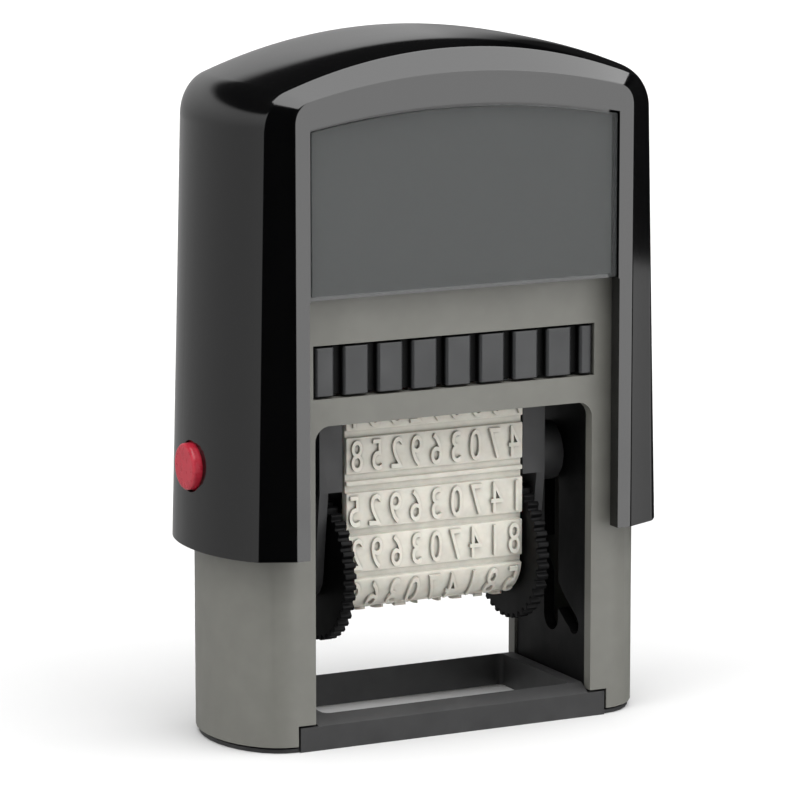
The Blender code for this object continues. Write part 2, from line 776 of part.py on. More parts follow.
def comb_outline():
    """The cassette's plan: a box with upright ribs along its front and its back."""
    gaps = (RIB_COUNT - 1) * COMB_GAP
    shares = [COMB_FIRST_SHARE] + [1.0] * (RIB_COUNT - 2) + [COMB_LAST_SHARE]
    width = (2 * CASSETTE_HALF - gaps) / sum(shares)
    body, front = CASSETTE_BODY_DEPTH, SKIRT_HALF_DEPTH - COMB_ROUND
    outline = []
    for side in (-1, 1):
        x = -CASSETTE_HALF
        face = []
        for share in shares:
            rib = width * share
            face.append((x, -body))
            face += arc((x + COMB_ROUND, -front), COMB_ROUND, 180, 270, RIB_CORNER_STEPS)
            face += arc((x + rib - COMB_ROUND, -front), COMB_ROUND, 270, 360, RIB_CORNER_STEPS)
            face.append((x + rib, -body))
            x += rib + COMB_GAP
        outline += [(-side * px, -side * py) for px, py in face]
    return outline


def make_cassette(finish, felt):
    body = along_z("ink_cassette", comb_outline(), CASSETTE_LOW, CASSETTE_HIGH)
    cassette = piece("ink_cassette", body, finish)
    pad_low = PRINT_Z + PAD_GAP
    pad_high = pad_low + PAD_THICK
    half, depth = PAD_HALF_WIDTH, PAD_HALF_DEPTH
    pocket = box_outline((-half - GAP, -depth - GAP), (half + GAP, depth + GAP))
    cut(cassette, along_z("pad_pocket", pocket, CASSETTE_LOW - OVERRUN, pad_high + GAP))
    pad = along_z("ink_pad", box_outline((-half, -depth), (half, depth), PAD_CORNER), pad_low, pad_high)
    piece("ink_pad", pad, felt)
    return cassette


# Phrase band and its carrier.


def belt_place(travel, lift):
    """A point at a distance along the belt's outer face from the middle of its top, forwards."""
    radius = BAND_HALF_THICK - TYPE_HEIGHT
    corner = radius - PLATEN_FLAT_HALF
    flat = PLATEN_FLAT_HALF
    bend = corner * math.pi / 2
    straight = BAND_TOP_CENTRE_Z - WHEEL_Z
    half_turn = radius * math.pi / 2
    half_length = flat + bend + straight + half_turn
    side = -1
    travel = travel % (2 * half_length)
    if travel > half_length:
        travel, side = 2 * half_length - travel, 1
    if travel <= flat:
        return side * travel, BAND_TOP_CENTRE_Z + corner + lift
    travel -= flat
    if travel <= bend:
        angle = travel / corner
        reach = corner + lift
        y = PLATEN_FLAT_HALF + reach * math.sin(angle)
        return side * y, BAND_TOP_CENTRE_Z + reach * math.cos(angle)
    travel -= bend
    if travel <= straight:
        return side * (radius + lift), BAND_TOP_CENTRE_Z - travel
    angle = (travel - straight) / radius
    reach = radius + lift
    return side * reach * math.cos(angle), WHEEL_Z - reach * math.sin(angle)


def belt_length():
    radius = BAND_HALF_THICK - TYPE_HEIGHT
    corner = radius - PLATEN_FLAT_HALF
    straight = BAND_TOP_CENTRE_Z - WHEEL_Z
    return 2 * PLATEN_FLAT_HALF + math.pi * corner + 2 * straight + math.pi * radius


def band_outline(steps=ROW_STEPS):
    """The band's outer outline, stepping up and down at every row of type."""
    pitch = (belt_length() - SEAM_BAR) / TYPE_ROWS
    outline = []
    for row in range(TYPE_ROWS):
        centre = row * pitch + (SEAM_BAR if row > SEAM_AFTER_ROW else 0.0)
        start = centre - (pitch - TYPE_GROOVE) / 2
        end = centre + (pitch - TYPE_GROOVE) / 2
        outline.append(belt_place(start, 0.0))
        for k in range(steps + 1):
            outline.append(belt_place(start + (end - start) * k / steps, TYPE_HEIGHT))
        outline.append(belt_place(end, 0.0))
        if row == SEAM_AFTER_ROW:
            bar_start = end + TYPE_GROOVE
            bar_end = end + SEAM_BAR
            outline += [belt_place(bar_start, 0.0), belt_place(bar_start, TYPE_HEIGHT)]
            outline += [belt_place(bar_end, TYPE_HEIGHT), belt_place(bar_end, 0.0)]
    return outline


def stadium(radius, flat, top_z, low_z, steps=ARC_STEPS):
    """The loop's section at a given radius from the wheel: round foot, flat top with round corners."""
    corner = radius - flat
    outline = arc((0.0, low_z), radius, 180, 360, 2 * steps)
    outline += arc((flat, top_z), corner, 0, 90, steps)
    return outline + arc((-flat, top_z), corner, 90, 180, steps)


def make_band(finish, carrier):
    half = BAND_HALF_WIDTH
    band = piece("word_band", along_x("word_band", band_outline(), -half, half), finish, carrier)
    inner = BAND_HALF_THICK - TYPE_HEIGHT - BAND_BELT
    hole = stadium(inner, PLATEN_FLAT_HALF, BAND_TOP_CENTRE_Z, WHEEL_Z)
    cut(band, along_x("band_hole", hole, -half - OVERRUN, half + OVERRUN))
    smooth(band)
    return band


def make_platen(finish, carrier):
    half = BAND_HALF_WIDTH
    radius = DRUM_RADIUS
    flat = PLATEN_FLAT_HALF
    corner = radius - flat
    outline = [(-radius, PLATEN_LOW), (radius, PLATEN_LOW)]
    outline += arc((flat, BAND_TOP_CENTRE_Z), corner, 0, 90)
    outline += arc((-flat, BAND_TOP_CENTRE_Z), corner, 90, 180)
    platen = piece("print_platen", along_x("print_platen", outline, -half, half), finish, carrier)
    bore = circle((0.0, TIE_Z), TIE_RADIUS + GAP, BORE_STEPS)
    cut(platen, along_x("tie_bore", bore, -half - OVERRUN, half + OVERRUN))
    return platen


def bore_along_x(name, centre, radius, ends):
    """A hole that lets a round piece of the given radius turn in it."""
    return along_x(name, circle(centre, radius + GAP, BORE_STEPS), *ends)


def make_cheek(side, finish, carrier):
    name = "carrier_cheek_" + side
    depth = CHEEK_HALF_DEPTH
    top = PRINT_Z - CHEEK_TOP_DROP
    upper = box_outline((-depth, BLOCK_LOW), (depth, top), CHEEK_CORNER, top_only=True)
    plate = arc((0.0, WHEEL_Z), CHEEK_FOOT_RADIUS, 180, 360) + upper[1:-1] + [upper[-1], (-depth, BLOCK_LOW)]
    cheek = piece(name, along_x(name, plate, *span(side, CHEEK_INNER_X, CHEEK_OUTER_X)), finish, carrier)
    block = along_x("block_" + side, upper, *span(side, BAND_HALF_WIDTH + GAP, CHEEK_OUTER_X - GAP))
    lobe = arc((FOLLOWER_ARM, AXLE_Z), CHEEK_LOBE_RADIUS, -90, 90)
    lobe += [(0.0, AXLE_Z + CHEEK_LOBE_RADIUS), (0.0, AXLE_Z - CHEEK_LOBE_RADIUS)]
    lobe_mesh = along_x("lobe_" + side, lobe, *span(side, CHEEK_INNER_X, CHEEK_OUTER_X))
    hub_end = GUIDE_INNER_X - SLIDE_GAP
    hub = along_x(
        "hub_" + side,
        circle((0.0, AXLE_Z), HUB_RADIUS),
        *span(side, CHEEK_INNER_X + GAP, hub_end),
    )
    join(cheek, block, lobe_mesh, hub)
    ends = span(side, BAND_HALF_WIDTH - OVERRUN, GUIDE_INNER_X)
    blind = span(side, CHEEK_INNER_X, GUIDE_INNER_X)
    cut(
        cheek,
        bore_along_x("pin_bore_" + side, (0.0, AXLE_Z), AXLE_RADIUS, blind),
        bore_along_x("follower_bore_" + side, (FOLLOWER_ARM, AXLE_Z), FOLLOWER_RADIUS, ends),
        bore_along_x("shaft_bore_" + side, (0.0, WHEEL_Z), SHAFT_RADIUS, ends),
        bore_along_x("tie_hole_" + side, (0.0, TIE_Z), TIE_RADIUS, ends),
    )
    smooth(cheek)
    return cheek


def make_follower(side, finish, carrier):
    name = "follower_pin_" + side
    ends = span(side, CHEEK_INNER_X, GUIDE_OUTER_X)
    pin = along_x(name, circle((FOLLOWER_ARM, AXLE_Z), FOLLOWER_RADIUS, PIN_STEPS), *ends)
    follower = piece(name, pin, finish, carrier)
    smooth(follower)
    return follower


def make_tie(finish, carrier):
    seat = CHEEK_OUTER_X + GAP
    end = seat + TIE_HEAD_THICK
    profile = [
        (-end, TIE_HEAD_RADIUS),
        (-seat, TIE_HEAD_RADIUS),
        (-seat, TIE_RADIUS),
        (seat, TIE_RADIUS),
        (seat, TIE_HEAD_RADIUS),
        (end, TIE_HEAD_RADIUS),
    ]
    tie = piece("tie_rod", turned_x("tie_rod", profile, (0.0, TIE_Z), BORE_STEPS), finish, carrier)
    smooth(tie)
    return tie


def make_leaf(finish, carrier):
    top = PLATEN_LOW - GAP
    low = WHEEL_Z + DRUM_RADIUS + GAP + LEAF_THICK
    knee = low + (top - low) * LEAF_KNEE_SHARE
    line = [(-LEAF_REACH, top), (-LEAF_KNEE, knee), (0.0, low), (LEAF_KNEE, knee), (LEAF_REACH, top)]
    outline = line + [(y, z - LEAF_THICK) for y, z in reversed(line)]
    half = LEAF_HALF_WIDTH
    return piece("detent_leaf", along_x("detent_leaf", outline, -half, half), finish, carrier)


# Wheel train.


def fluted(radius, count, depth):
    """A round outline with shallow flutes for the band's inner ribs."""
    outline = []
    for i in range(count * DRUM_POINTS_EACH):
        angle = 2 * math.pi * i / (count * DRUM_POINTS_EACH)
        dip = depth * max(0.0, math.cos(count * angle))
        outline.append(((radius - dip) * math.cos(angle), (radius - dip) * math.sin(angle)))
    return outline


def toothed(radius, count, depth):
    """A round outline with small flat-topped teeth."""
    corners = ((0.0, depth), (TOOTH_FOOT_SHARE, depth), (TOOTH_RISE_SHARE, 0.0), (TOOTH_TOP_SHARE, 0.0))
    outline = []
    for i in range(count):
        for share, drop in corners:
            angle = 2 * math.pi * (i + share) / count
            outline.append(((radius - drop) * math.cos(angle), (radius - drop) * math.sin(angle)))
    return outline


def about_wheel(outline):
    return [(y, z + WHEEL_Z) for y, z in outline]


def make_drum(finish, carrier):
    half = BAND_HALF_WIDTH
    outline = about_wheel(fluted(DRUM_RADIUS, DRUM_FLUTES, DRUM_FLUTE_DEPTH))
    drum = piece("drive_drum", along_x("drive_drum", outline, -half, half), finish, carrier)
    ends = (-half - OVERRUN, half + OVERRUN)
    cut(drum, bore_along_x("drum_bore", (0.0, WHEEL_Z), SHAFT_RADIUS, ends))
    smooth(drum)
    return drum


def make_shaft(finish, carrier):
    end = CHEEK_OUTER_X + SHAFT_END
    rod = along_x("drum_shaft", circle((0.0, WHEEL_Z), SHAFT_RADIUS, BORE_STEPS), -end, end)
    shaft = piece("drum_shaft", rod, finish, carrier)
    smooth(shaft)
    return shaft


def make_thumb_wheel(side, finish, carrier):
    name = "thumb_wheel_" + side
    outer = THUMB_INNER_X + THUMB_THICK
    outline = about_wheel(toothed(THUMB_RADIUS, THUMB_TEETH, THUMB_TOOTH))
    wheel = piece(name, along_x(name, outline, *span(side, THUMB_INNER_X, outer)), finish, carrier)
    ends = span(side, THUMB_INNER_X - OVERRUN, outer + OVERRUN)
    cut(wheel, bore_along_x("wheel_bore_" + side, (0.0, WHEEL_Z), SHAFT_RADIUS, ends))
    return wheel


# Return spring.


def least_gap(places):
    """The least distance between the wire of one turn and that of another."""
    near = SPRING_POINTS_PER_TURN // 2
    least = min(
        math.dist(places[i], places[j])
        for i in range(len(places))
        for j in range(i + near, len(places))
    )
    return least - 2 * SPRING_WIRE


def make_spring(finish):
    low = DECK_HIGH + SPRING_SEAT_GAP + SPRING_WIRE
    high = BRIDGE_LOW - SPRING_SEAT_GAP - SPRING_WIRE
    count = SPRING_TURNS * SPRING_POINTS_PER_TURN
    places = []
    for i in range(count + 1):
        angle = 2 * math.pi * i / SPRING_POINTS_PER_TURN
        x, y = SPRING_RADIUS * math.cos(angle), SPRING_RADIUS * math.sin(angle)
        places.append((x, y, low + (high - low) * i / count))
    curve = bpy.data.curves.new("return_spring", "CURVE")
    curve.dimensions = "3D"
    curve.bevel_depth = SPRING_WIRE
    curve.bevel_resolution = 1
    curve.use_fill_caps = True
    line = curve.splines.new("POLY")
    line.points.add(len(places) - 1)
    for point, place in zip(line.points, places):
        point.co = (*place, 1.0)
    curve.materials.append(finish)
    spring = bpy.data.objects.new("return_spring", curve)
    bpy.context.collection.objects.link(spring)
    print("return spring, least gap between turns in metres:", round(least_gap(places), 5))
    return spring


def main():
    clear_scene()
    gray = material("skirt_plastic", (0.195, 0.195, 0.168), 0.5)
    black = material("frame_plastic", (0.02, 0.02, 0.022), 0.45)
    gloss = material("cap_plastic", (0.012, 0.012, 0.012), 0.12)
    card = material("label_card", (0.11, 0.115, 0.115), 0.6)
    clear = material("label_window", (0.9, 0.9, 0.9), 0.05)
    dark = material("cassette_plastic", (0.11, 0.12, 0.125), 0.4)
    felt = material("ink_felt", (0.05, 0.02, 0.02), 0.95)
    ivory = material("band_rubber", (0.68, 0.66, 0.56), 0.6)
    red = material("button_plastic", (0.55, 0.03, 0.06), 0.35)
    steel = material("steel", (0.55, 0.55, 0.56), 0.3, 1.0)

    cap_slide = pivot("cap_slide", (0.0, 0.0, CAP_LOW))
    unit_axis = pivot("unit_axis", (0.0, 0.0, AXLE_Z), cap_slide)
    wheel_axis = pivot("wheel_axis", (0.0, 0.0, WHEEL_Z), unit_axis)

    make_skirt(gray)
    make_base(black)
    make_cassette(dark, felt)
    make_spring(steel)
    make_cap(gloss, cap_slide)
    make_label(card, clear, cap_slide)
    make_yoke(black, cap_slide)
    make_band(ivory, unit_axis)
    make_platen(black, unit_axis)
    make_tie(steel, unit_axis)
    make_leaf(steel, unit_axis)
    make_drum(black, wheel_axis)
    make_shaft(steel, wheel_axis)
    for side in ("left", "right"):
        sign = mirrored(side)
        press = pivot("button_slide_" + side, (sign * cap_half(BUTTON_Z), 0.0, BUTTON_Z), cap_slide)
        make_guide_wall(side, black)
        make_lock_button(side, red, press)
        make_axle_pin(side, steel, cap_slide)
        make_cheek(side, black, unit_axis)
        make_follower(side, steel, unit_axis)
        make_thumb_wheel(side, black, wheel_axis)


if __name__ == "__main__":
    main()
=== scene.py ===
"""Looks of a self-inking word band stamp.

Finishes, moulded edges, the band's raised figures, floor and light, laid out as a Blender add-on
and run as a script. Metres, +Z up, front towards -Y.
"""

import json
import math
import bmesh
import bpy
from bpy.props import FloatProperty, FloatVectorProperty, IntProperty, PointerProperty
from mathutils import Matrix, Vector


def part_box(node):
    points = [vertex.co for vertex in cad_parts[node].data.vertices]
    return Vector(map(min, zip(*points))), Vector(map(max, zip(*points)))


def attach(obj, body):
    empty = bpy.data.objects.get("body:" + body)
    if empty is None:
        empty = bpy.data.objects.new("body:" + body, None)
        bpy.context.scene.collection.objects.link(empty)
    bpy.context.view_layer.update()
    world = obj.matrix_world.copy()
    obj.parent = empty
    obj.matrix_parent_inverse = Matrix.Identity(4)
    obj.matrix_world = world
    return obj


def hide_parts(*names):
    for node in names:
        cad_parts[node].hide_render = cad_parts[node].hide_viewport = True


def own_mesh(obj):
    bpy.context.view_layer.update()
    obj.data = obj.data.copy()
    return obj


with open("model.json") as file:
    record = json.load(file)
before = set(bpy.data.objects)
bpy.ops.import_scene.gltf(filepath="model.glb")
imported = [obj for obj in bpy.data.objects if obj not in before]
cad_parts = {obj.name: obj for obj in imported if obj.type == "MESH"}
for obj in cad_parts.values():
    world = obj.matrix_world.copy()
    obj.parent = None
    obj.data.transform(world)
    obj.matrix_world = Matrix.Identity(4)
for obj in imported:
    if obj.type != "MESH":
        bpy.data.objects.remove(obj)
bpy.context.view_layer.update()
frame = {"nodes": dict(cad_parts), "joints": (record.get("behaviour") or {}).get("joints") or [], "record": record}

bl_info = {
    "name": "Word Band Stamp",
    "version": (1, 0, 0),
    "blender": (4, 5, 0),
    "location": "View3D > Sidebar > Stamp",
    "description": "Dresses a self-inking word band stamp",
    "category": "Object",
}

JOINTS = {joint["name"]: joint for joint in frame["joints"]}
BODY_OF = {
    node: body
    for body, nodes in frame["record"]["behaviour"]["bodies"].items()
    for node in nodes
}

# Drawing. Angles are in degrees.
ARC_STEPS = 18
CIRCLE_STEPS = 64
CUT_OVERRUN = 0.002
WELD = 1e-6
FLAT_ANGLE = 1.0
EDGE_ANGLE = 50
EDGE_SEGMENTS = 2
CREASE_ANGLE = 50

# Cap, with its outside sizes from the solid.
CAP_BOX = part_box("cap_shell")
CAP_LOW = CAP_BOX[0].z
CAP_TOP = CAP_BOX[1].z
CAP_HALF_LOW = CAP_BOX[1].x
CAP_HALF_DEPTH = CAP_BOX[1].y
CAP_HALF_HIGH = 0.0298
CAP_FLAT = 0.0235
CAP_FACE_TOP = 0.0842
CAP_WALL = 0.0013
CAP_FACE_WALL = 0.0020
CAP_CROWN_WALL = 0.0022
CROWN_RADIUS = 0.0700
CROWN_SHOULDER = 0.0060
FACE_CROWN_RADIUS = 0.0900
FACE_SHOULDER = 0.0025
BEVEL_DEPTH_SHARE = 0.86
BEVEL_SPREAD_SHARE = math.sqrt(1 - BEVEL_DEPTH_SHARE**2)
BEVEL_RISE_SHARE = 0.70
CROWN_POWER = 4.5
CORNER_SHARE = 0.030
CORNER_STEPS = 5
CAP_STATION_COUNT = 22
CAP_FLAT_ANGLE = 0.05
CAP_EDGE_ANGLE = 60
OPENING_HALF = 0.02165
PANEL_HALF = 0.0215
WINDOW_GAP = 0.0003
PANEL_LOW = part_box("index_window")[0].z - WINDOW_GAP
PANEL_TOP = 0.0803
PANEL_RADIUS = 0.1100
PANEL_RECESS = 0.0014
BUTTON_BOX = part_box("lock_button_left")
BUTTON_Z = (BUTTON_BOX[0].z + BUTTON_BOX[1].z) / 2
BUTTON_BORE = 0.00325
BUTTON_SEAT = 0.0040
BUTTON_SEAT_DEPTH = 0.0008

# Radii on the edges of the smaller pieces.
WINDOW_EDGE = 0.00015
CHEEK_EDGE = 0.00015
CASSETTE_EDGE = 0.00012
BAND_EDGE = 0.00012
WHEEL_EDGE = 0.00010
WHEEL_EDGE_ANGLE = 40

# Ink cassette: the depth below the face where the painted shade in its grooves starts, and where it is full.
GROOVE_SHADE_START = 0.0001
GROOVE_SHADE_FULL = 0.0005

# Felt pad.
PAD_CELLS = (40, 20, 6)
PAD_SAG = 0.025
PAD_CROWN = 0.06
PAD_CROWN_POWER = 6
PAD_CREASE_ANGLE = 50

# Band.
BAND_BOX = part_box("word_band")
WHEEL_Z = JOINTS["phrase_wheel"]["pos_m"][2]
BAND_HALF_WIDTH = BAND_BOX[1].x
BAND_HALF_THICK = BAND_BOX[1].y
TYPE_HEIGHT = 0.0009
BELT_THICK = 0.0009
BELT_RADIUS = BAND_HALF_THICK - TYPE_HEIGHT
PLATEN_FLAT_HALF = 0.0020
PLATEN_CORNER = BELT_RADIUS - PLATEN_FLAT_HALF
BAND_TOP_CENTRE_Z = BAND_BOX[1].z - TYPE_HEIGHT - PLATEN_CORNER
BELT_BEND = PLATEN_CORNER * math.pi / 2
BELT_STRAIGHT = BAND_TOP_CENTRE_Z - WHEEL_Z
BELT_HALF_LENGTH = PLATEN_FLAT_HALF + BELT_BEND + BELT_STRAIGHT + BELT_RADIUS * math.pi / 2
TYPE_ROWS = 12
TYPE_GROOVE = 0.0009
SEAM_BAR = 0.0015
SEAM_AFTER_ROW = 2
ROW_PITCH = (2 * BELT_HALF_LENGTH - SEAM_BAR) / TYPE_ROWS
ROW_MARGIN = 0.0005
BLOCK_STEPS = 12
BAND_FLAT_ANGLE = 0.5
BAND_CREASE_ANGLE = 40

# Figures on the band.
ROW_STEP = 7
FIGURE_STEP = 3
FIGURE_FOOT = 0.0001
FIGURE_CURVE_STEPS = 3
FIGURE_SLICES = 6
FIGURE_WELD = 1e-7
SLICE_WELD = 2e-6

# Return spring.
SPRING_RADIUS = 0.0036
SPRING_WIRE = 0.00035
SPRING_TURNS = 9
SPRING_STEPS = 24
SPRING_SIDES = 8
SPRING_CREASE_ANGLE = 60

# Stage.
AIM = Vector((-0.0022, 0.0, 0.0412))
FLOOR_HALF = 4.0
SENSOR_WIDTH = 36
CLIP_START = 0.01

# Brightness of the mirrored room, as factors: axis, the span over which a factor changes, and
# its values at both ends.
ROOM = (
    ("Y", (-0.62, -0.45), (0.0, 1.0)),  # Dark behind the camera.
    ("Y", (-0.6, 0.9), (0.7, 0.4)),  # Dimmer from the front to the far wall.
    ("Z", (0.0, 0.3), (1.0, 1.55)),  # Brighter upwards.
    ("X", (0.455, 0.53), (1.0, 0.03)),  # Dark on the right.
    ("Z", (0.385, 0.445), (1.0, 0.03)),  # Dark overhead.
)


class StampSettings(bpy.types.PropertyGroup):
    """Sizes and colours that a user would change."""

    edge_round: FloatProperty(
        name="Edge rounding",
        description="Radius on the moulded edges of the housing",
        default=0.00025,
        unit="LENGTH",
        precision=5,
    )
    figure_relief: FloatProperty(
        name="Figure relief",
        description="How far the figures stand out of their rows on the band",
        default=0.0004,
        unit="LENGTH",
        precision=5,
    )
    figure_height: FloatProperty(
        name="Figure height",
        description="Height of the figures on the band",
        default=0.0040,
        unit="LENGTH",
        precision=5,
    )
    figures_per_row: IntProperty(
        name="Figures per row",
        description="Number of figures in each row of the band",
        default=9,
        min=1,
        max=12,
    )
    cap_colour: FloatVectorProperty(
        name="Cap",
        description="Colour of the cap",
        default=(0.0012, 0.0012, 0.0013),
        subtype="COLOR",
        min=0,
        max=1,
    )
    skirt_colour: FloatVectorProperty(
        name="Skirt",
        description="Colour of the skirt",
        default=(0.125, 0.124, 0.110),
        subtype="COLOR",
        min=0,
        max=1,
    )
    frame_colour: FloatVectorProperty(
        name="Inner frame",
        description="Colour of the inner frames and wheels",
        default=(0.0032, 0.0032, 0.0034),
        subtype="COLOR",
        min=0,
        max=1,
    )
    base_colour: FloatVectorProperty(
        name="Base frame",
        description="Colour of the frame round the print opening",
        default=(0.026, 0.026, 0.0265),
        subtype="COLOR",
        min=0,
        max=1,
    )
    carrier_colour: FloatVectorProperty(
        name="Band carrier",
        description="Colour of the cheeks that carry the band",
        default=(0.030, 0.030, 0.031),
        subtype="COLOR",
        min=0,
        max=1,
    )
    cassette_colour: FloatVectorProperty(
        name="Cassette",
        description="Colour of the ink cassette",
        default=(0.024, 0.025, 0.026),
        subtype="COLOR",
        min=0,
        max=1,
    )
    card_colour: FloatVectorProperty(
        name="Label card",
        description="Colour of the card behind the label window",
        default=(0.040, 0.043, 0.042),
        subtype="COLOR",
        min=0,
        max=1,
    )
    band_colour: FloatVectorProperty(
        name="Band",
        description="Colour of the phrase band's rubber",
        default=(0.56, 0.54, 0.478),
        subtype="COLOR",
        min=0,
        max=1,
    )
    button_colour: FloatVectorProperty(
        name="Buttons",
        description="Colour of the lock buttons",
        default=(0.32, 0.014, 0.028),
        subtype="COLOR",
        min=0,
        max=1,
    )
    camera_turn: FloatProperty(
        name="Camera turn",
        description="Angle of the camera to the left of the front",
        default=math.radians(27),
        subtype="ANGLE",
    )
    camera_rise: FloatProperty(
        name="Camera rise",
        description="Angle of the camera above the level",
        default=math.radians(10.4),
        subtype="ANGLE",
    )
    camera_distance: FloatProperty(
        name="Camera distance",
        description="Distance from the camera to what it aims at",
        default=0.6,
        unit="LENGTH",
    )
    camera_lens: FloatProperty(
        name="Camera lens",
        description="Focal length in millimetres",
        default=213.3,
        unit="CAMERA",
    )


def settings():
    """The sizes and colours in use."""
    return bpy.context.scene.stamp_settings


# Outlines.


def arc(centre, radius, start, end, steps=ARC_STEPS):
    """Points along an arc, angles in degrees, both ends included."""
    points = []
    for i in range(steps + 1):
        angle = math.radians(start + (end - start) * i / steps)
        points.append((centre[0] + radius * math.cos(angle), centre[1] + radius * math.sin(angle)))
    return points


def circle(centre, radius):
    """Points round a circle, with a flat side on the right."""
    first = 180 / CIRCLE_STEPS
    return arc(centre, radius, first, first + 360, CIRCLE_STEPS)[:-1]


def box_outline(low, high):
    return [(low[0], low[1]), (high[0], low[1]), (high[0], high[1]), (low[0], high[1])]


def shoulder_height(reach, top, crown, shoulder):
    """Height of the shoulder arc's centre where that arc runs on into the crown arc."""
    return top - crown + math.sqrt((crown - shoulder) ** 2 - reach**2)


def arch_outline(half_low, half_high, low, top, crown, shoulder):
    """An upright arch in the XZ plane, from the right foot over the crown to the left foot."""
    reach = half_high - shoulder
    shoulder_z = shoulder_height(reach, top, crown, shoulder)
    crown_z = top - crown
    tangent = math.degrees(math.atan2(shoulder_z - crown_z, reach))
    right = [(half_low, low)] + arc((reach, shoulder_z), shoulder, 0, tangent)
    middle = arc((0.0, crown_z), crown, tangent, 180 - tangent, 2 * ARC_STEPS)[1:-1]
    return right + middle + [(-x, z) for x, z in reversed(right)]


def panel_outline():
    """The label's place on the face: straight sides under a shallow arch, run on below the foot."""
    centre_z = PANEL_TOP - PANEL_RADIUS
    tilt = math.degrees(math.asin(PANEL_HALF / PANEL_RADIUS))
    foot = PANEL_LOW - CUT_OVERRUN
    arch = arc((0.0, centre_z), PANEL_RADIUS, 90 - tilt, 90 + tilt)
    return [(-PANEL_HALF, foot), (PANEL_HALF, foot)] + arch


# Meshes.


def new_piece(name, points, faces, twisted=False):
    """A mesh object with its faces turned outwards. Twisted four-sided faces are split first."""
    mesh = bpy.data.meshes.new(name)
    mesh.from_pydata([Vector(p) for p in points], [], faces)
    bm = bmesh.new()
    bm.from_mesh(mesh)
    if twisted:
        bmesh.ops.triangulate(bm, faces=[face for face in bm.faces if len(face.verts) == 4])
    bmesh.ops.recalc_face_normals(bm, faces=bm.faces)
    bm.to_mesh(mesh)
    bm.free()
    piece = bpy.data.objects.new(name, mesh)
    bpy.context.scene.collection.objects.link(piece)
    return piece


def loft(name, rings, twisted=False):
    """A closed solid through rings of equal point counts, with flat ends."""
    count = len(rings[0])
    points = [p for ring in rings for p in ring]
    faces = [list(range(count)), list(range(len(points) - count, len(points)))]
    for level in range(len(rings) - 1):
        for i in range(count):
            j = (i + 1) % count
            low, high = level * count, (level + 1) * count
            faces.append([low + i, low + j, high + j, high + i])
    return new_piece(name, points, faces, twisted)


def along(axis, name, outline, low, high):
    """A prism of an outline along X or Y."""
    if axis == "X":
        return loft(name, [[(x, a, b) for a, b in outline] for x in (low, high)])
    return loft(name, [[(a, y, b) for a, b in outline] for y in (low, high)])


def settle(piece):
    """Turns the piece's modifiers into mesh."""
    graph = bpy.context.evaluated_depsgraph_get()
    settled = bpy.data.meshes.new_from_object(piece.evaluated_get(graph), depsgraph=graph)
    drawn = piece.data
    piece.modifiers.clear()
    piece.data = settled
    bpy.data.meshes.remove(drawn)
    settled.name = piece.name


def carve(piece, *tools):
    """Takes each tool's shape out of the piece, and removes the tools."""
    for tool in tools:
        modifier = piece.modifiers.new(tool.name, "BOOLEAN")
        modifier.operation = "DIFFERENCE"
        modifier.solver = "EXACT"
        modifier.object = tool
    settle(piece)
    for tool in tools:
        bpy.data.objects.remove(tool, do_unlink=True)


def tidy_faces(piece, flat=FLAT_ANGLE):
    """Welds doubled points and clears the edges that lie within flat faces."""
    bm = bmesh.new()
    bm.from_mesh(piece.data)
    bmesh.ops.remove_doubles(bm, verts=bm.verts, dist=WELD)
    bmesh.ops.dissolve_limit(
        bm, angle_limit=math.radians(flat), verts=bm.verts, edges=bm.edges
    )
    bm.to_mesh(piece.data)
    bm.free()


def round_edges(piece, width, angle=EDGE_ANGLE):
    """Gives the edges that turn more than the angle a moulded radius."""
    modifier = piece.modifiers.new("moulded_edges", "BEVEL")
    modifier.width = width
    modifier.segments = EDGE_SEGMENTS
    modifier.limit_method = "ANGLE"
    modifier.angle_limit = math.radians(angle)
    modifier.use_clamp_overlap = True
    modifier.miter_outer = "MITER_ARC"
    settle(piece)


def smooth(piece, crease):
    """Smooth shading, broken at edges that turn more than the crease."""
    piece.data.shade_smooth()
    piece.data.set_sharp_from_angle(angle=math.radians(crease))


def steady_light(piece):
    """Smooth shading whose light stays even on flat faces and turns only in the rounded edges."""
    smooth(piece, CREASE_ANGLE)
    modifier = piece.modifiers.new("even_faces", "WEIGHTED_NORMAL")
    modifier.keep_sharp = True
    settle(piece)


def moulded_copy(node, name, width, angle=EDGE_ANGLE):
    """A piece in the shape of a CAD node, with its sharp edges rounded."""
    piece = bpy.data.objects.new(name, frame["nodes"][node].data.copy())
    bpy.context.scene.collection.objects.link(piece)
    piece.data.name = name
    tidy_faces(piece)
    round_edges(piece, width, angle)
    steady_light(piece)
    return piece


def dress(piece, material, node):
    """Puts a finish on a piece that stands for a CAD node, and hangs it on that node's body."""
    piece.data.materials.clear()
    piece.data.materials.append(material)
    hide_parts(node)
    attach(piece, BODY_OF[node])


def paint(node, material):
    """Puts a finish on a CAD node that shows as it is."""
    obj = frame["nodes"][node]
    obj.data.materials.clear()
    obj.data.materials.append(material)


# Finishes.


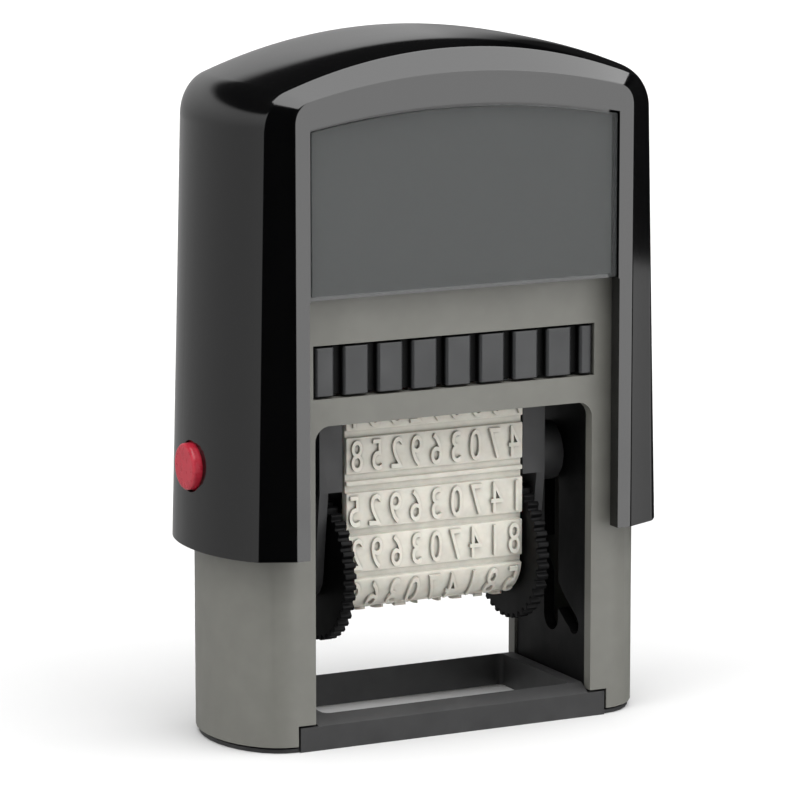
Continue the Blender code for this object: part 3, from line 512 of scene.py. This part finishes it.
class Finish:
    """A node material under construction, with its Principled shader."""

    def __init__(self, name, colour, roughness, metallic=0.0):
        self.material = bpy.data.materials.new(name)
        self.material.use_nodes = True
        self.tree = self.material.node_tree
        self.shader = self.tree.nodes["Principled BSDF"]
        self.shader.inputs["Base Color"].default_value = (*colour, 1.0)
        self.shader.inputs["Roughness"].default_value = roughness
        self.shader.inputs["Metallic"].default_value = metallic
        self.colour = colour
        self.place = self.tree.nodes.new("ShaderNodeTexCoord").outputs["Object"]

    def set(self, **values):
        """Sets sockets of the shader, named with underscores for spaces."""
        for name, value in values.items():
            self.shader.inputs[name.replace("_", " ")].default_value = value

    def noise(self, size, detail=3.0, stretch=None):
        """Soft noise with features of the given size in metres."""
        node = self.tree.nodes.new("ShaderNodeTexNoise")
        node.inputs["Scale"].default_value = 1.0 / size
        node.inputs["Detail"].default_value = detail
        place = self.place
        if stretch is not None:
            mapping = self.tree.nodes.new("ShaderNodeMapping")
            mapping.inputs["Scale"].default_value = stretch
            self.tree.links.new(place, mapping.inputs["Vector"])
            place = mapping.outputs["Vector"]
        self.tree.links.new(place, node.inputs["Vector"])
        return node.outputs["Fac"]

    def spread(self, value, low, high, start=0.3, end=0.7):
        """Maps a value to a range. Noise lies mostly between the default start and end."""
        node = self.tree.nodes.new("ShaderNodeMapRange")
        node.inputs["From Min"].default_value = start
        node.inputs["From Max"].default_value = end
        node.inputs["To Min"].default_value = low
        node.inputs["To Max"].default_value = high
        self.tree.links.new(value, node.inputs["Value"])
        return node.outputs["Result"]

    def mix(self, factor, first, second):
        """Mixes two colours, each a colour or a socket."""
        node = self.tree.nodes.new("ShaderNodeMix")
        node.data_type = "RGBA"
        self.tree.links.new(factor, node.inputs["Factor"])
        for socket, value in ((node.inputs[6], first), (node.inputs[7], second)):
            if isinstance(value, bpy.types.NodeSocket):
                self.tree.links.new(value, socket)
            else:
                socket.default_value = (*value, 1.0)
        return node.outputs[2]

    def shade(self, amount):
        """The finish's own colour made lighter or darker."""
        return tuple(min(1.0, channel * amount) for channel in self.colour)

    def tones(self, size, low, high):
        """A colour that drifts between a darker and a lighter tone of the finish's own."""
        drift = self.spread(self.noise(size), low=0.0, high=1.0)
        return self.mix(drift, self.shade(low), self.shade(high))

    def tint(self, colour):
        """Takes a socket as the shader's colour."""
        self.tree.links.new(colour, self.shader.inputs["Base Color"])

    def mottle(self, size, low, high):
        """Lets the colour drift between two tones."""
        self.tint(self.tones(size, low, high))

    def wear(self, size, low, high, stretch=None):
        """Lets the roughness drift, as handling and moulding leave it."""
        value = self.spread(self.noise(size, detail=5.0, stretch=stretch), low, high)
        self.tree.links.new(value, self.shader.inputs["Roughness"])

    def grain(self, size, strength, depth, stretch=None):
        """Fine moulded texture."""
        node = self.tree.nodes.new("ShaderNodeBump")
        node.inputs["Strength"].default_value = strength
        node.inputs["Distance"].default_value = depth
        height = self.noise(size, detail=2.0, stretch=stretch)
        self.tree.links.new(height, node.inputs["Height"])
        self.tree.links.new(node.outputs["Normal"], self.shader.inputs["Normal"])

    def crevice_shade(self, reach):
        """Painted shade: falls from one to nothing where other surfaces crowd in closer than the reach."""
        node = self.tree.nodes.new("ShaderNodeAmbientOcclusion")
        node.samples = 8
        node.only_local = True
        node.inputs["Distance"].default_value = reach
        return self.spread(node.outputs["AO"], low=0.0, high=1.0, start=0.35, end=0.9)


def once(maker):
    """Makes a finish the first time it is asked for."""
    found = []

    def get():
        if not found:
            found.append(maker())
        return found[0]

    return get


@once
def cap_gloss():
    finish = Finish("cap_gloss", settings().cap_colour, roughness=0.10)
    finish.mottle(size=0.004, low=0.9, high=1.1)
    finish.wear(size=0.006, low=0.08, high=0.13)
    finish.grain(size=0.0035, strength=0.10, depth=0.00002)
    finish.set(IOR=1.65)
    return finish.material


@once
def skirt_satin():
    finish = Finish("skirt_satin", settings().skirt_colour, roughness=0.48)
    finish.mottle(size=0.003, low=0.95, high=1.05)
    finish.wear(size=0.005, low=0.44, high=0.54)
    finish.grain(size=0.00012, strength=0.35, depth=0.00002)
    return finish.material


@once
def frame_satin():
    finish = Finish("frame_satin", settings().frame_colour, roughness=0.5)
    finish.mottle(size=0.003, low=0.85, high=1.2)
    finish.wear(size=0.004, low=0.44, high=0.56)
    finish.grain(size=0.00015, strength=0.3, depth=0.00002)
    finish.set(Specular_IOR_Level=0.13)
    return finish.material


@once
def base_satin():
    finish = Finish("base_satin", settings().base_colour, roughness=0.55)
    finish.mottle(size=0.003, low=0.88, high=1.14)
    finish.wear(size=0.004, low=0.48, high=0.62)
    finish.grain(size=0.00015, strength=0.3, depth=0.00002)
    finish.set(Specular_IOR_Level=0.4)
    return finish.material


@once
def carrier_satin():
    finish = Finish("carrier_satin", settings().carrier_colour, roughness=0.5)
    finish.mottle(size=0.002, low=0.9, high=1.1)
    finish.wear(size=0.003, low=0.44, high=0.56)
    finish.grain(size=0.00015, strength=0.3, depth=0.00002)
    return finish.material


@once
def cassette_satin():
    finish = Finish("cassette_satin", settings().cassette_colour, roughness=0.36)
    finish.wear(size=0.004, low=0.32, high=0.44)
    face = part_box("ink_cassette")[1].y
    bounds = {"start": face - GROOVE_SHADE_FULL, "end": face - GROOVE_SHADE_START}
    split = finish.tree.nodes.new("ShaderNodeSeparateXYZ")
    finish.tree.links.new(finish.place, split.inputs["Vector"])
    reach = finish.tree.nodes.new("ShaderNodeMath")
    reach.operation = "ABSOLUTE"
    finish.tree.links.new(split.outputs["Y"], reach.inputs[0])
    # Painted shade: the sides of the grooves darken with depth to near black, and their specular level falls with
    # it.
    groove_shade = finish.spread(reach.outputs["Value"], low=1.0, high=0.0, **bounds)
    ribs = finish.tones(size=0.003, low=0.92, high=1.08)
    finish.tint(finish.mix(groove_shade, ribs, finish.shade(0.12)))
    level = finish.spread(reach.outputs["Value"], low=0.08, high=0.5, **bounds)
    finish.tree.links.new(level, finish.shader.inputs["Specular IOR Level"])
    finish.grain(size=0.0002, strength=0.2, depth=0.00001)
    return finish.material


@once
def card_matt():
    finish = Finish("card_matt", settings().card_colour, roughness=0.62)
    finish.mottle(size=0.0004, low=0.93, high=1.07)
    finish.grain(size=0.0001, strength=0.3, depth=0.00001)
    return finish.material


@once
def window_clear():
    finish = Finish("window_clear", (0.12, 0.125, 0.125), roughness=0.5)
    finish.wear(size=0.0006, low=0.45, high=0.6)
    finish.set(Alpha=0.15, IOR=1.35)
    return finish.material


@once
def band_rubber():
    finish = Finish("band_rubber", settings().band_colour, roughness=0.55)
    flecks = finish.noise(size=0.0016, detail=4.0)
    stain = finish.spread(flecks, low=0.0, high=1.0, start=0.35, end=0.75)
    colour = finish.mix(stain, finish.shade(1.03), finish.shade(0.88))
    # Painted shade: the rubber darkens beside the raised figures and in the grooves, where other surfaces crowd
    # in.
    finish.tint(finish.mix(finish.crevice_shade(reach=0.0005), finish.shade(0.42), colour))
    finish.wear(size=0.002, low=0.5, high=0.66)
    finish.grain(size=0.00018, strength=0.35, depth=0.00002)
    finish.set(Subsurface_Weight=0.12, Subsurface_Scale=0.0006)
    return finish.material


@once
def button_red():
    finish = Finish("button_red", settings().button_colour, roughness=0.28)
    finish.mottle(size=0.001, low=0.92, high=1.08)
    finish.wear(size=0.001, low=0.24, high=0.34)
    finish.grain(size=0.00015, strength=0.2, depth=0.00001)
    return finish.material


@once
def felt_inked():
    finish = Finish("felt_inked", (0.030, 0.012, 0.014), roughness=0.92)
    finish.mottle(size=0.0006, low=0.6, high=1.5)
    finish.grain(size=0.00015, strength=1.0, depth=0.0001)
    return finish.material


@once
def steel_drawn():
    finish = Finish("steel_drawn", (0.56, 0.56, 0.57), roughness=0.28, metallic=1.0)
    finish.mottle(size=0.002, low=0.9, high=1.05)
    finish.wear(size=0.0008, low=0.22, high=0.36, stretch=(0.08, 1.0, 1.0))
    finish.grain(size=0.0001, strength=0.2, depth=0.00001, stretch=(0.05, 1.0, 1.0))
    return finish.material


@once
def floor_pale():
    finish = Finish("floor_pale", (0.52, 0.52, 0.52), roughness=0.7)
    # Painted light: the floor's colour grows from grey near the stamp to near white far off, so the far floor,
    # which gets less light, still renders white.
    distance = finish.tree.nodes.new("ShaderNodeVectorMath")
    distance.operation = "LENGTH"
    finish.tree.links.new(finish.place, distance.inputs[0])
    away = finish.spread(distance.outputs["Value"], low=0.0, high=1.0, start=0.15, end=1.0)
    finish.tint(finish.mix(away, finish.colour, (0.97, 0.97, 0.97)))
    finish.wear(size=0.05, low=0.65, high=0.75)
    return finish.material


# Cap.


def rounded_corner(before, corner, after):
    """Points of a curve that rounds a corner off."""
    points = []
    for i in range(CORNER_STEPS + 1):
        t = i / CORNER_STEPS
        points.append(before * (1 - t) ** 2 + corner * 2 * t * (1 - t) + after * t**2)
    return points


def rounded_profile():
    """(depth share, spread, rise) from the front face over its bevel to the cap's middle."""
    face = Vector((1.0, 0.0, 0.0))
    bevel = Vector((BEVEL_DEPTH_SHARE, BEVEL_SPREAD_SHARE, BEVEL_RISE_SHARE))
    inside = Vector((1.0, -CORNER_SHARE, -2 * CORNER_SHARE))
    curve = []
    for i in range(CAP_STATION_COUNT + 1):
        share = BEVEL_DEPTH_SHARE * math.cos(math.pi / 2 * i / CAP_STATION_COUNT)
        rise = 1 - (1 - BEVEL_RISE_SHARE) * (share / BEVEL_DEPTH_SHARE) ** CROWN_POWER
        curve.append(Vector((share, math.sqrt(1 - share**2), rise)))
    profile = rounded_corner(inside, face, face.lerp(bevel, 2 * CORNER_SHARE))
    profile += rounded_corner(bevel.lerp(face, 2 * CORNER_SHARE), bevel, curve[2])
    return profile + curve[3:]


def cap_rings(low, face_inset=0.0, wall_inset=0.0, crown_inset=0.0):
    """The cap's form as arches across its depth."""
    depth = CAP_HALF_DEPTH - face_inset
    face = arch_outline(
        CAP_FLAT,
        CAP_FLAT,
        low,
        CAP_FACE_TOP - crown_inset,
        FACE_CROWN_RADIUS - crown_inset,
        FACE_SHOULDER,
    )
    middle = arch_outline(
        CAP_HALF_LOW - wall_inset,
        CAP_HALF_HIGH - wall_inset,
        low,
        CAP_TOP - crown_inset,
        CROWN_RADIUS - crown_inset,
        CROWN_SHOULDER,
    )
    front = [(-share, spread, rise) for share, spread, rise in rounded_profile()]
    back = [(-share, spread, rise) for share, spread, rise in reversed(front[:-1])]
    rings = []
    for share, spread, rise in front + back:
        ring = []
        for near, far in zip(face, middle):
            x = near[0] + (far[0] - near[0]) * spread
            z = near[1] + (far[1] - near[1]) * rise
            ring.append((x, depth * share, z))
        rings.append(ring)
    return rings


def cap_half(z):
    """Half width of the cap's outside at a height."""
    top = shoulder_height(CAP_HALF_HIGH - CROWN_SHOULDER, CAP_TOP, CROWN_RADIUS, CROWN_SHOULDER)
    return CAP_HALF_LOW + (CAP_HALF_HIGH - CAP_HALF_LOW) * (z - CAP_LOW) / (top - CAP_LOW)


class STAMP_OT_cap(bpy.types.Operator):
    """Build the gloss cap with its bevelled face, label recess and button bores"""

    bl_idname = "stamp.cap"
    bl_label = "Cap"

    def execute(self, context):
        cap = loft("cap", cap_rings(CAP_LOW), twisted=True)
        low = CAP_LOW - CUT_OVERRUN
        inside = cap_rings(low, CAP_FACE_WALL, CAP_WALL, CAP_CROWN_WALL)
        reach = CAP_HALF_DEPTH + CUT_OVERRUN
        floor = CAP_HALF_DEPTH - PANEL_RECESS
        opening = box_outline((-OPENING_HALF, low), (OPENING_HALF, PANEL_LOW))
        tools = [
            loft("hollow", inside, twisted=True),
            along("Y", "openings", opening, -reach, reach),
            along("Y", "front_recess", panel_outline(), -reach, -floor),
            along("Y", "back_recess", panel_outline(), floor, reach),
        ]
        outer = cap_half(BUTTON_Z)
        inner = outer - CAP_WALL
        for sign in (-1, 1):
            bore = sorted((sign * inner, sign * (outer + CUT_OVERRUN)))
            seat = sorted((sign * (inner - CUT_OVERRUN), sign * (inner + BUTTON_SEAT_DEPTH)))
            tools.append(along("X", "bore", circle((0.0, BUTTON_Z), BUTTON_BORE), *bore))
            tools.append(along("X", "seat", circle((0.0, BUTTON_Z), BUTTON_SEAT), *seat))
        carve(cap, *tools)
        tidy_faces(cap, CAP_FLAT_ANGLE)
        round_edges(cap, settings().edge_round, CAP_EDGE_ANGLE)
        steady_light(cap)
        dress(cap, cap_gloss(), "cap_shell")
        return {"FINISHED"}


class STAMP_OT_label(bpy.types.Operator):
    """Finish the label card and the clear window over it"""

    bl_idname = "stamp.label"
    bl_label = "Label"

    def execute(self, context):
        paint("index_label", card_matt())
        window = moulded_copy("index_window", "label_window", WINDOW_EDGE)
        dress(window, window_clear(), "index_window")
        return {"FINISHED"}


class STAMP_OT_buttons(bpy.types.Operator):
    """Finish the two lock buttons"""

    bl_idname = "stamp.buttons"
    bl_label = "Lock buttons"

    def execute(self, context):
        for side in ("left", "right"):
            paint("lock_button_" + side, button_red())
        return {"FINISHED"}


class STAMP_OT_yoke(bpy.types.Operator):
    """Finish the yoke under the crown"""

    bl_idname = "stamp.yoke"
    bl_label = "Yoke"

    def execute(self, context):
        paint("yoke", frame_satin())
        return {"FINISHED"}


# Lower housing.


class STAMP_OT_skirt(bpy.types.Operator):
    """Round the skirt's moulded edges and give it its satin finish"""

    bl_idname = "stamp.skirt"
    bl_label = "Skirt"

    def execute(self, context):
        skirt = moulded_copy("skirt_frame", "skirt", settings().edge_round)
        dress(skirt, skirt_satin(), "skirt_frame")
        return {"FINISHED"}


class STAMP_OT_base(bpy.types.Operator):
    """Finish the base frame round the print opening"""

    bl_idname = "stamp.base"
    bl_label = "Base frame"

    def execute(self, context):
        base = moulded_copy("base_frame", "base", settings().edge_round)
        dress(base, base_satin(), "base_frame")
        return {"FINISHED"}


class STAMP_OT_guides(bpy.types.Operator):
    """Finish the two guide walls with their cam tracks"""

    bl_idname = "stamp.guides"
    bl_label = "Guide walls"

    def execute(self, context):
        for side in ("left", "right"):
            paint("guide_wall_" + side, frame_satin())
        return {"FINISHED"}


class STAMP_OT_cassette(bpy.types.Operator):
    """Finish the ribbed ink cassette and make its felt pad"""

    bl_idname = "stamp.cassette"
    bl_label = "Ink cassette"

    def execute(self, context):
        cassette = moulded_copy("ink_cassette", "cassette", CASSETTE_EDGE)
        dress(cassette, cassette_satin(), "ink_cassette")
        pad = felt_pad()
        dress(pad, felt_inked(), "ink_pad")
        return {"FINISHED"}


def felt_pad():
    """A soft block with drawn-in sides and a slightly crowned printing face."""
    low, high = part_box("ink_pad")
    half = (high - low) / 2
    centre = (high + low) / 2
    points = []
    faces = []
    index = {}

    def corner(*place):
        if place not in index:
            u, v, w = (2 * step / cells - 1 for step, cells in zip(place, PAD_CELLS))
            sag = 1 - PAD_SAG * (1 - w * w)
            crown = 1 - PAD_CROWN * max(abs(u) ** PAD_CROWN_POWER, abs(v) ** PAD_CROWN_POWER)
            offset = (half.x * u * sag, half.y * v * sag, half.z * w * crown)
            index[place] = len(points)
            points.append([middle + shift for middle, shift in zip(centre, offset)])
        return index[place]

    for level_axis, first_axis, second_axis in ((2, 0, 1), (1, 0, 2), (0, 1, 2)):
        for level in (0, PAD_CELLS[level_axis]):
            for a in range(PAD_CELLS[first_axis]):
                for b in range(PAD_CELLS[second_axis]):
                    face = []
                    for i, j in ((a, b), (a + 1, b), (a + 1, b + 1), (a, b + 1)):
                        place = [level, level, level]
                        place[first_axis], place[second_axis] = i, j
                        face.append(corner(*place))
                    faces.append(face)
    pad = new_piece("felt_pad", points, faces)
    smooth(pad, PAD_CREASE_ANGLE)
    return pad


# Band unit.


def belt_place(travel, lift):
    """(y, z) at a distance along the belt's outer face from the middle of its top, forwards."""
    side = -1
    travel = travel % (2 * BELT_HALF_LENGTH)
    if travel > BELT_HALF_LENGTH:
        travel, side = 2 * BELT_HALF_LENGTH - travel, 1
    if travel <= PLATEN_FLAT_HALF:
        return side * travel, BAND_TOP_CENTRE_Z + PLATEN_CORNER + lift
    travel -= PLATEN_FLAT_HALF
    if travel <= BELT_BEND:
        angle = travel / PLATEN_CORNER
        reach = PLATEN_CORNER + lift
        y = side * (PLATEN_FLAT_HALF + reach * math.sin(angle))
        return y, BAND_TOP_CENTRE_Z + reach * math.cos(angle)
    travel -= BELT_BEND
    if travel <= BELT_STRAIGHT:
        return side * (BELT_RADIUS + lift), BAND_TOP_CENTRE_Z - travel
    angle = (travel - BELT_STRAIGHT) / BELT_RADIUS
    reach = BELT_RADIUS + lift
    return side * reach * math.cos(angle), WHEEL_Z - reach * math.sin(angle)


def row_centre(row):
    """How far along the belt a row's middle lies."""
    return row * ROW_PITCH + (SEAM_BAR if row > SEAM_AFTER_ROW else 0.0)


def band_loop(block_height):
    """The belt with a flat block for every row, a bar at its seam, and its hollow."""
    block = ROW_PITCH - TYPE_GROOVE
    outer = []
    for row in range(TYPE_ROWS):
        centre = row_centre(row)
        start, end = centre - block / 2, centre + block / 2
        outer.append(belt_place(start, 0.0))
        for k in range(BLOCK_STEPS + 1):
            outer.append(belt_place(start + block * k / BLOCK_STEPS, block_height))
        outer.append(belt_place(end, 0.0))
        if row == SEAM_AFTER_ROW:
            first, last = end + TYPE_GROOVE, end + SEAM_BAR
            outer += [belt_place(first, 0.0), belt_place(first, block_height)]
            outer += [belt_place(last, block_height), belt_place(last, 0.0)]
    band = along("X", "phrase_band", outer, -BAND_HALF_WIDTH, BAND_HALF_WIDTH)
    inner = BELT_RADIUS - BELT_THICK
    hole = arc((0.0, WHEEL_Z), inner, 180, 360, 2 * ARC_STEPS)
    corner = inner - PLATEN_FLAT_HALF
    hole += arc((PLATEN_FLAT_HALF, BAND_TOP_CENTRE_Z), corner, 0, 90)
    hole += arc((-PLATEN_FLAT_HALF, BAND_TOP_CENTRE_Z), corner, 90, 180)
    reach = BAND_HALF_WIDTH + CUT_OVERRUN
    carve(band, along("X", "band_hollow", hole, -reach, reach))
    tidy_faces(band, BAND_FLAT_ANGLE)
    round_edges(band, BAND_EDGE)
    return band


def figure_mesh(text, height, relief):
    """Raised figures as a mesh that lies flat, centred on the origin, sliced for bending."""
    curve = bpy.data.curves.new("figures", "FONT")
    curve.body = text
    curve.align_x = "CENTER"
    curve.size = 1.0
    curve.extrude = 0.5
    curve.resolution_u = FIGURE_CURVE_STEPS
    obj = bpy.data.objects.new("figures", curve)
    bpy.context.scene.collection.objects.link(obj)
    graph = bpy.context.evaluated_depsgraph_get()
    mesh = bpy.data.meshes.new_from_object(obj.evaluated_get(graph), depsgraph=graph)
    bpy.data.objects.remove(obj, do_unlink=True)
    bpy.data.curves.remove(curve)
    low_y = min(v.co.y for v in mesh.vertices)
    high_y = max(v.co.y for v in mesh.vertices)
    scale = height / (high_y - low_y)
    middle = (low_y + high_y) / 2
    for v in mesh.vertices:
        v.co = (v.co.x * scale, (v.co.y - middle) * scale, (v.co.z + 0.5) * relief)
    bm = bmesh.new()
    bm.from_mesh(mesh)
    bpy.data.meshes.remove(mesh)
    bmesh.ops.remove_doubles(bm, verts=bm.verts, dist=FIGURE_WELD)
    for k in range(1, FIGURE_SLICES):
        level = height * (k / FIGURE_SLICES - 0.5)
        geometry = bm.verts[:] + bm.edges[:] + bm.faces[:]
        bmesh.ops.bisect_plane(bm, geom=geometry, plane_co=(0, level, 0), plane_no=(0, 1, 0))
    bmesh.ops.remove_doubles(bm, verts=bm.verts, dist=SLICE_WELD)
    return bm


def row_figures(row):
    """Plain figures for a row, as a run of even steps."""
    numbers = (ROW_STEP * row + FIGURE_STEP * k for k in range(settings().figures_per_row))
    return " ".join(str(number % 10) for number in numbers)


class STAMP_OT_band(bpy.types.Operator):
    """Build the phrase band with its rows of raised, mirrored figures"""

    bl_idname = "stamp.band"
    bl_label = "Phrase band"

    def execute(self, context):
        relief = settings().figure_relief
        block_height = TYPE_HEIGHT - relief
        band = band_loop(block_height)
        bm = bmesh.new()
        bm.from_mesh(band.data)
        height = settings().figure_height
        for row in range(TYPE_ROWS):
            figures = figure_mesh(row_figures(row), height, relief + FIGURE_FOOT)
            width = max(v.co.x for v in figures.verts) - min(v.co.x for v in figures.verts)
            fit = min(1.0, (2 * BAND_HALF_WIDTH - 2 * ROW_MARGIN) / width)
            for v in figures.verts:
                lift = block_height - FIGURE_FOOT + v.co.z
                y, z = belt_place(row_centre(row) - v.co.y, lift)
                v.co = (-v.co.x * fit, y, z)
            bmesh.ops.recalc_face_normals(figures, faces=figures.faces)
            mesh = bpy.data.meshes.new("row_figures")
            figures.to_mesh(mesh)
            figures.free()
            bm.from_mesh(mesh)
            bpy.data.meshes.remove(mesh)
        bm.to_mesh(band.data)
        bm.free()
        smooth(band, BAND_CREASE_ANGLE)
        dress(band, band_rubber(), "word_band")
        return {"FINISHED"}


class STAMP_OT_carrier(bpy.types.Operator):
    """Finish the cheeks, the platen and the steel pieces that hold the band unit together"""

    bl_idname = "stamp.carrier"
    bl_label = "Band carrier"

    def execute(self, context):
        for side in ("left", "right"):
            cheek = moulded_copy("carrier_cheek_" + side, "cheek_" + side, CHEEK_EDGE)
            dress(cheek, carrier_satin(), "carrier_cheek_" + side)
            paint("follower_pin_" + side, steel_drawn())
            paint("axle_pin_" + side, steel_drawn())
        paint("print_platen", frame_satin())
        paint("tie_rod", steel_drawn())
        paint("detent_leaf", steel_drawn())
        return {"FINISHED"}


class STAMP_OT_wheels(bpy.types.Operator):
    """Finish the thumb wheels, the drum and its shaft"""

    bl_idname = "stamp.wheels"
    bl_label = "Thumb wheels"

    def execute(self, context):
        for side in ("left", "right"):
            node = "thumb_wheel_" + side
            wheel = moulded_copy(node, "wheel_" + side, WHEEL_EDGE, WHEEL_EDGE_ANGLE)
            dress(wheel, frame_satin(), node)
        paint("drive_drum", frame_satin())
        paint("drum_shaft", steel_drawn())
        return {"FINISHED"}


# Spring.


class STAMP_OT_spring(bpy.types.Operator):
    """Wind the return spring as a coil at its resting length"""

    bl_idname = "stamp.spring"
    bl_label = "Return spring"

    def execute(self, context):
        low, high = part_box("return_spring")
        start, end = low.z + SPRING_WIRE, high.z - SPRING_WIRE
        sides = SPRING_SIDES
        count = SPRING_TURNS * SPRING_STEPS
        points = []
        faces = []
        for i in range(count + 1):
            angle = 2 * math.pi * i / SPRING_STEPS
            outward = Vector((math.cos(angle), math.sin(angle), 0.0))
            centre = outward * SPRING_RADIUS
            centre.z = start + (end - start) * i / count
            for k in range(sides):
                around = 2 * math.pi * k / sides
                offset = outward * math.cos(around) + Vector((0, 0, 1)) * math.sin(around)
                points.append(centre + offset * SPRING_WIRE)
        for i in range(count):
            for k in range(sides):
                a, b = i * sides + k, i * sides + (k + 1) % sides
                faces.append([a, b, b + sides, a + sides])
        faces.append(list(range(sides)))
        faces.append(list(range(count * sides, (count + 1) * sides)))
        spring = new_piece("spring_coil", points, faces)
        smooth(spring, SPRING_CREASE_ANGLE)
        dress(spring, steel_drawn(), "return_spring")
        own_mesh(spring)
        return {"FINISHED"}


# Stage.


def turned(turn, rise, distance):
    """A place seen from AIM at an angle to the left of the front and above the level."""
    level = math.cos(rise)
    away = Vector((-math.sin(turn) * level, -math.cos(turn) * level, math.sin(rise)))
    return AIM + away * distance


# Lights: name, place, target, size, brightness, and whether gloss mirrors it.
LIGHTS = (
    ("ceiling", (0.0, 0.6, 1.6), (0.0, 0.6, 0.0), (3.6, 3.6), 1.5, False),
    ("key", (0.6, -1.1, 0.45), (0.0, 0.0, 0.45), (1.3, 1.5), 2.65, True),
    ("top", (0.3, -0.44, 1.2), (0.3, -0.44, 0.0), (2.4, 1.28), 3.4, True),
    ("right", (1.2, -0.27, 0.1), (0.0, 0.0, 0.1), (0.6, 1.0), 1.5, False),
    ("low_card", (0.15, 0.0, 0.01), (0.0, 0.0, 0.01), (0.08, 0.06), 0.7, True),
    ("left", turned(math.radians(80), math.radians(30), 0.8), AIM, (0.5, 0.5), 3.3, False),
)


def aimed(obj, target):
    """Turns a light or the camera towards a place."""
    direction = Vector(target) - obj.location
    obj.rotation_euler = direction.to_track_quat("-Z", "Y").to_euler()


def softbox(name, location, target, size, brightness, mirrored):
    """A soft panel of light of a given brightness, whatever its size."""
    light = bpy.data.lights.new(name, "AREA")
    light.shape = "RECTANGLE"
    light.size, light.size_y = size
    light.energy = brightness * math.pi * size[0] * size[1]
    obj = bpy.data.objects.new(name, light)
    bpy.context.scene.collection.objects.link(obj)
    obj.location = location
    obj.visible_camera = False
    obj.visible_glossy = mirrored
    aimed(obj, target)


def studio_world():
    """The room as gloss mirrors it. The camera itself sees plain white."""
    world = bpy.data.worlds.new("studio")
    world.use_nodes = True
    tree = world.node_tree
    background = tree.nodes["Background"]
    background.inputs["Color"].default_value = (1.0, 1.0, 1.0, 1.0)
    direction = tree.nodes.new("ShaderNodeTexCoord").outputs["Generated"]
    split = tree.nodes.new("ShaderNodeSeparateXYZ")
    tree.links.new(direction, split.inputs["Vector"])

    def calculate(operation, first, second):
        node = tree.nodes.new("ShaderNodeMath")
        node.operation = operation
        tree.links.new(first, node.inputs[0])
        tree.links.new(second, node.inputs[1])
        return node.outputs["Value"]

    strength = None
    for axis, span, values in ROOM:
        node = tree.nodes.new("ShaderNodeMapRange")
        for name, amount in zip(("From Min", "From Max", "To Min", "To Max"), span + values):
            node.inputs[name].default_value = amount
        tree.links.new(split.outputs[axis], node.inputs["Value"])
        factor = node.outputs["Result"]
        if strength is None:
            strength = factor
        else:
            strength = calculate("MULTIPLY", strength, factor)
    seen = tree.nodes.new("ShaderNodeLightPath").outputs["Is Camera Ray"]
    strength = calculate("MAXIMUM", strength, seen)
    tree.links.new(strength, background.inputs["Strength"])
    return world


class STAMP_OT_stage(bpy.types.Operator):
    """Lay the pale floor, hang the soft lights and place the camera"""

    bl_idname = "stamp.stage"
    bl_label = "Stage"

    def execute(self, context):
        values = settings()
        outline = box_outline((-FLOOR_HALF, -FLOOR_HALF), (FLOOR_HALF, FLOOR_HALF))
        floor = new_piece("floor", [(x, y, 0.0) for x, y in outline], [[0, 1, 2, 3]])
        floor.data.materials.append(floor_pale())
        floor.visible_glossy = False
        for light in LIGHTS:
            softbox(*light)
        context.scene.world = studio_world()
        context.scene.view_settings.view_transform = "Standard"
        camera = bpy.data.cameras.new("photo_camera")
        camera.lens = values.camera_lens
        camera.sensor_width = SENSOR_WIDTH
        camera.clip_start = CLIP_START
        viewer = bpy.data.objects.new("photo_camera", camera)
        context.scene.collection.objects.link(viewer)
        viewer.location = turned(
            values.camera_turn, values.camera_rise, values.camera_distance
        )
        aimed(viewer, AIM)
        context.scene.camera = viewer
        return {"FINISHED"}


OPERATORS = (
    STAMP_OT_cap,
    STAMP_OT_label,
    STAMP_OT_buttons,
    STAMP_OT_yoke,
    STAMP_OT_skirt,
    STAMP_OT_base,
    STAMP_OT_guides,
    STAMP_OT_cassette,
    STAMP_OT_band,
    STAMP_OT_carrier,
    STAMP_OT_wheels,
    STAMP_OT_spring,
    STAMP_OT_stage,
)


class STAMP_PT_pieces(bpy.types.Panel):
    """Lists the stamp's pieces in the sidebar"""

    bl_label = "Word band stamp"
    bl_idname = "STAMP_PT_pieces"
    bl_space_type = "VIEW_3D"
    bl_region_type = "UI"
    bl_category = "Stamp"

    def draw(self, context):
        layout = self.layout
        values = context.scene.stamp_settings
        for name in StampSettings.__annotations__:
            layout.prop(values, name)
        for operator in OPERATORS:
            layout.operator(operator.bl_idname)


CLASSES = (StampSettings, *OPERATORS, STAMP_PT_pieces)


def register():
    for cls in CLASSES:
        bpy.utils.register_class(cls)
    bpy.types.Scene.stamp_settings = PointerProperty(type=StampSettings)


def unregister():
    del bpy.types.Scene.stamp_settings
    for cls in reversed(CLASSES):
        bpy.utils.unregister_class(cls)


def main():
    """Builds every piece."""
    register()
    for operator in OPERATORS:
        group, name = operator.bl_idname.split(".")
        getattr(getattr(bpy.ops, group), name)()


if __name__ == "__main__":
    main()
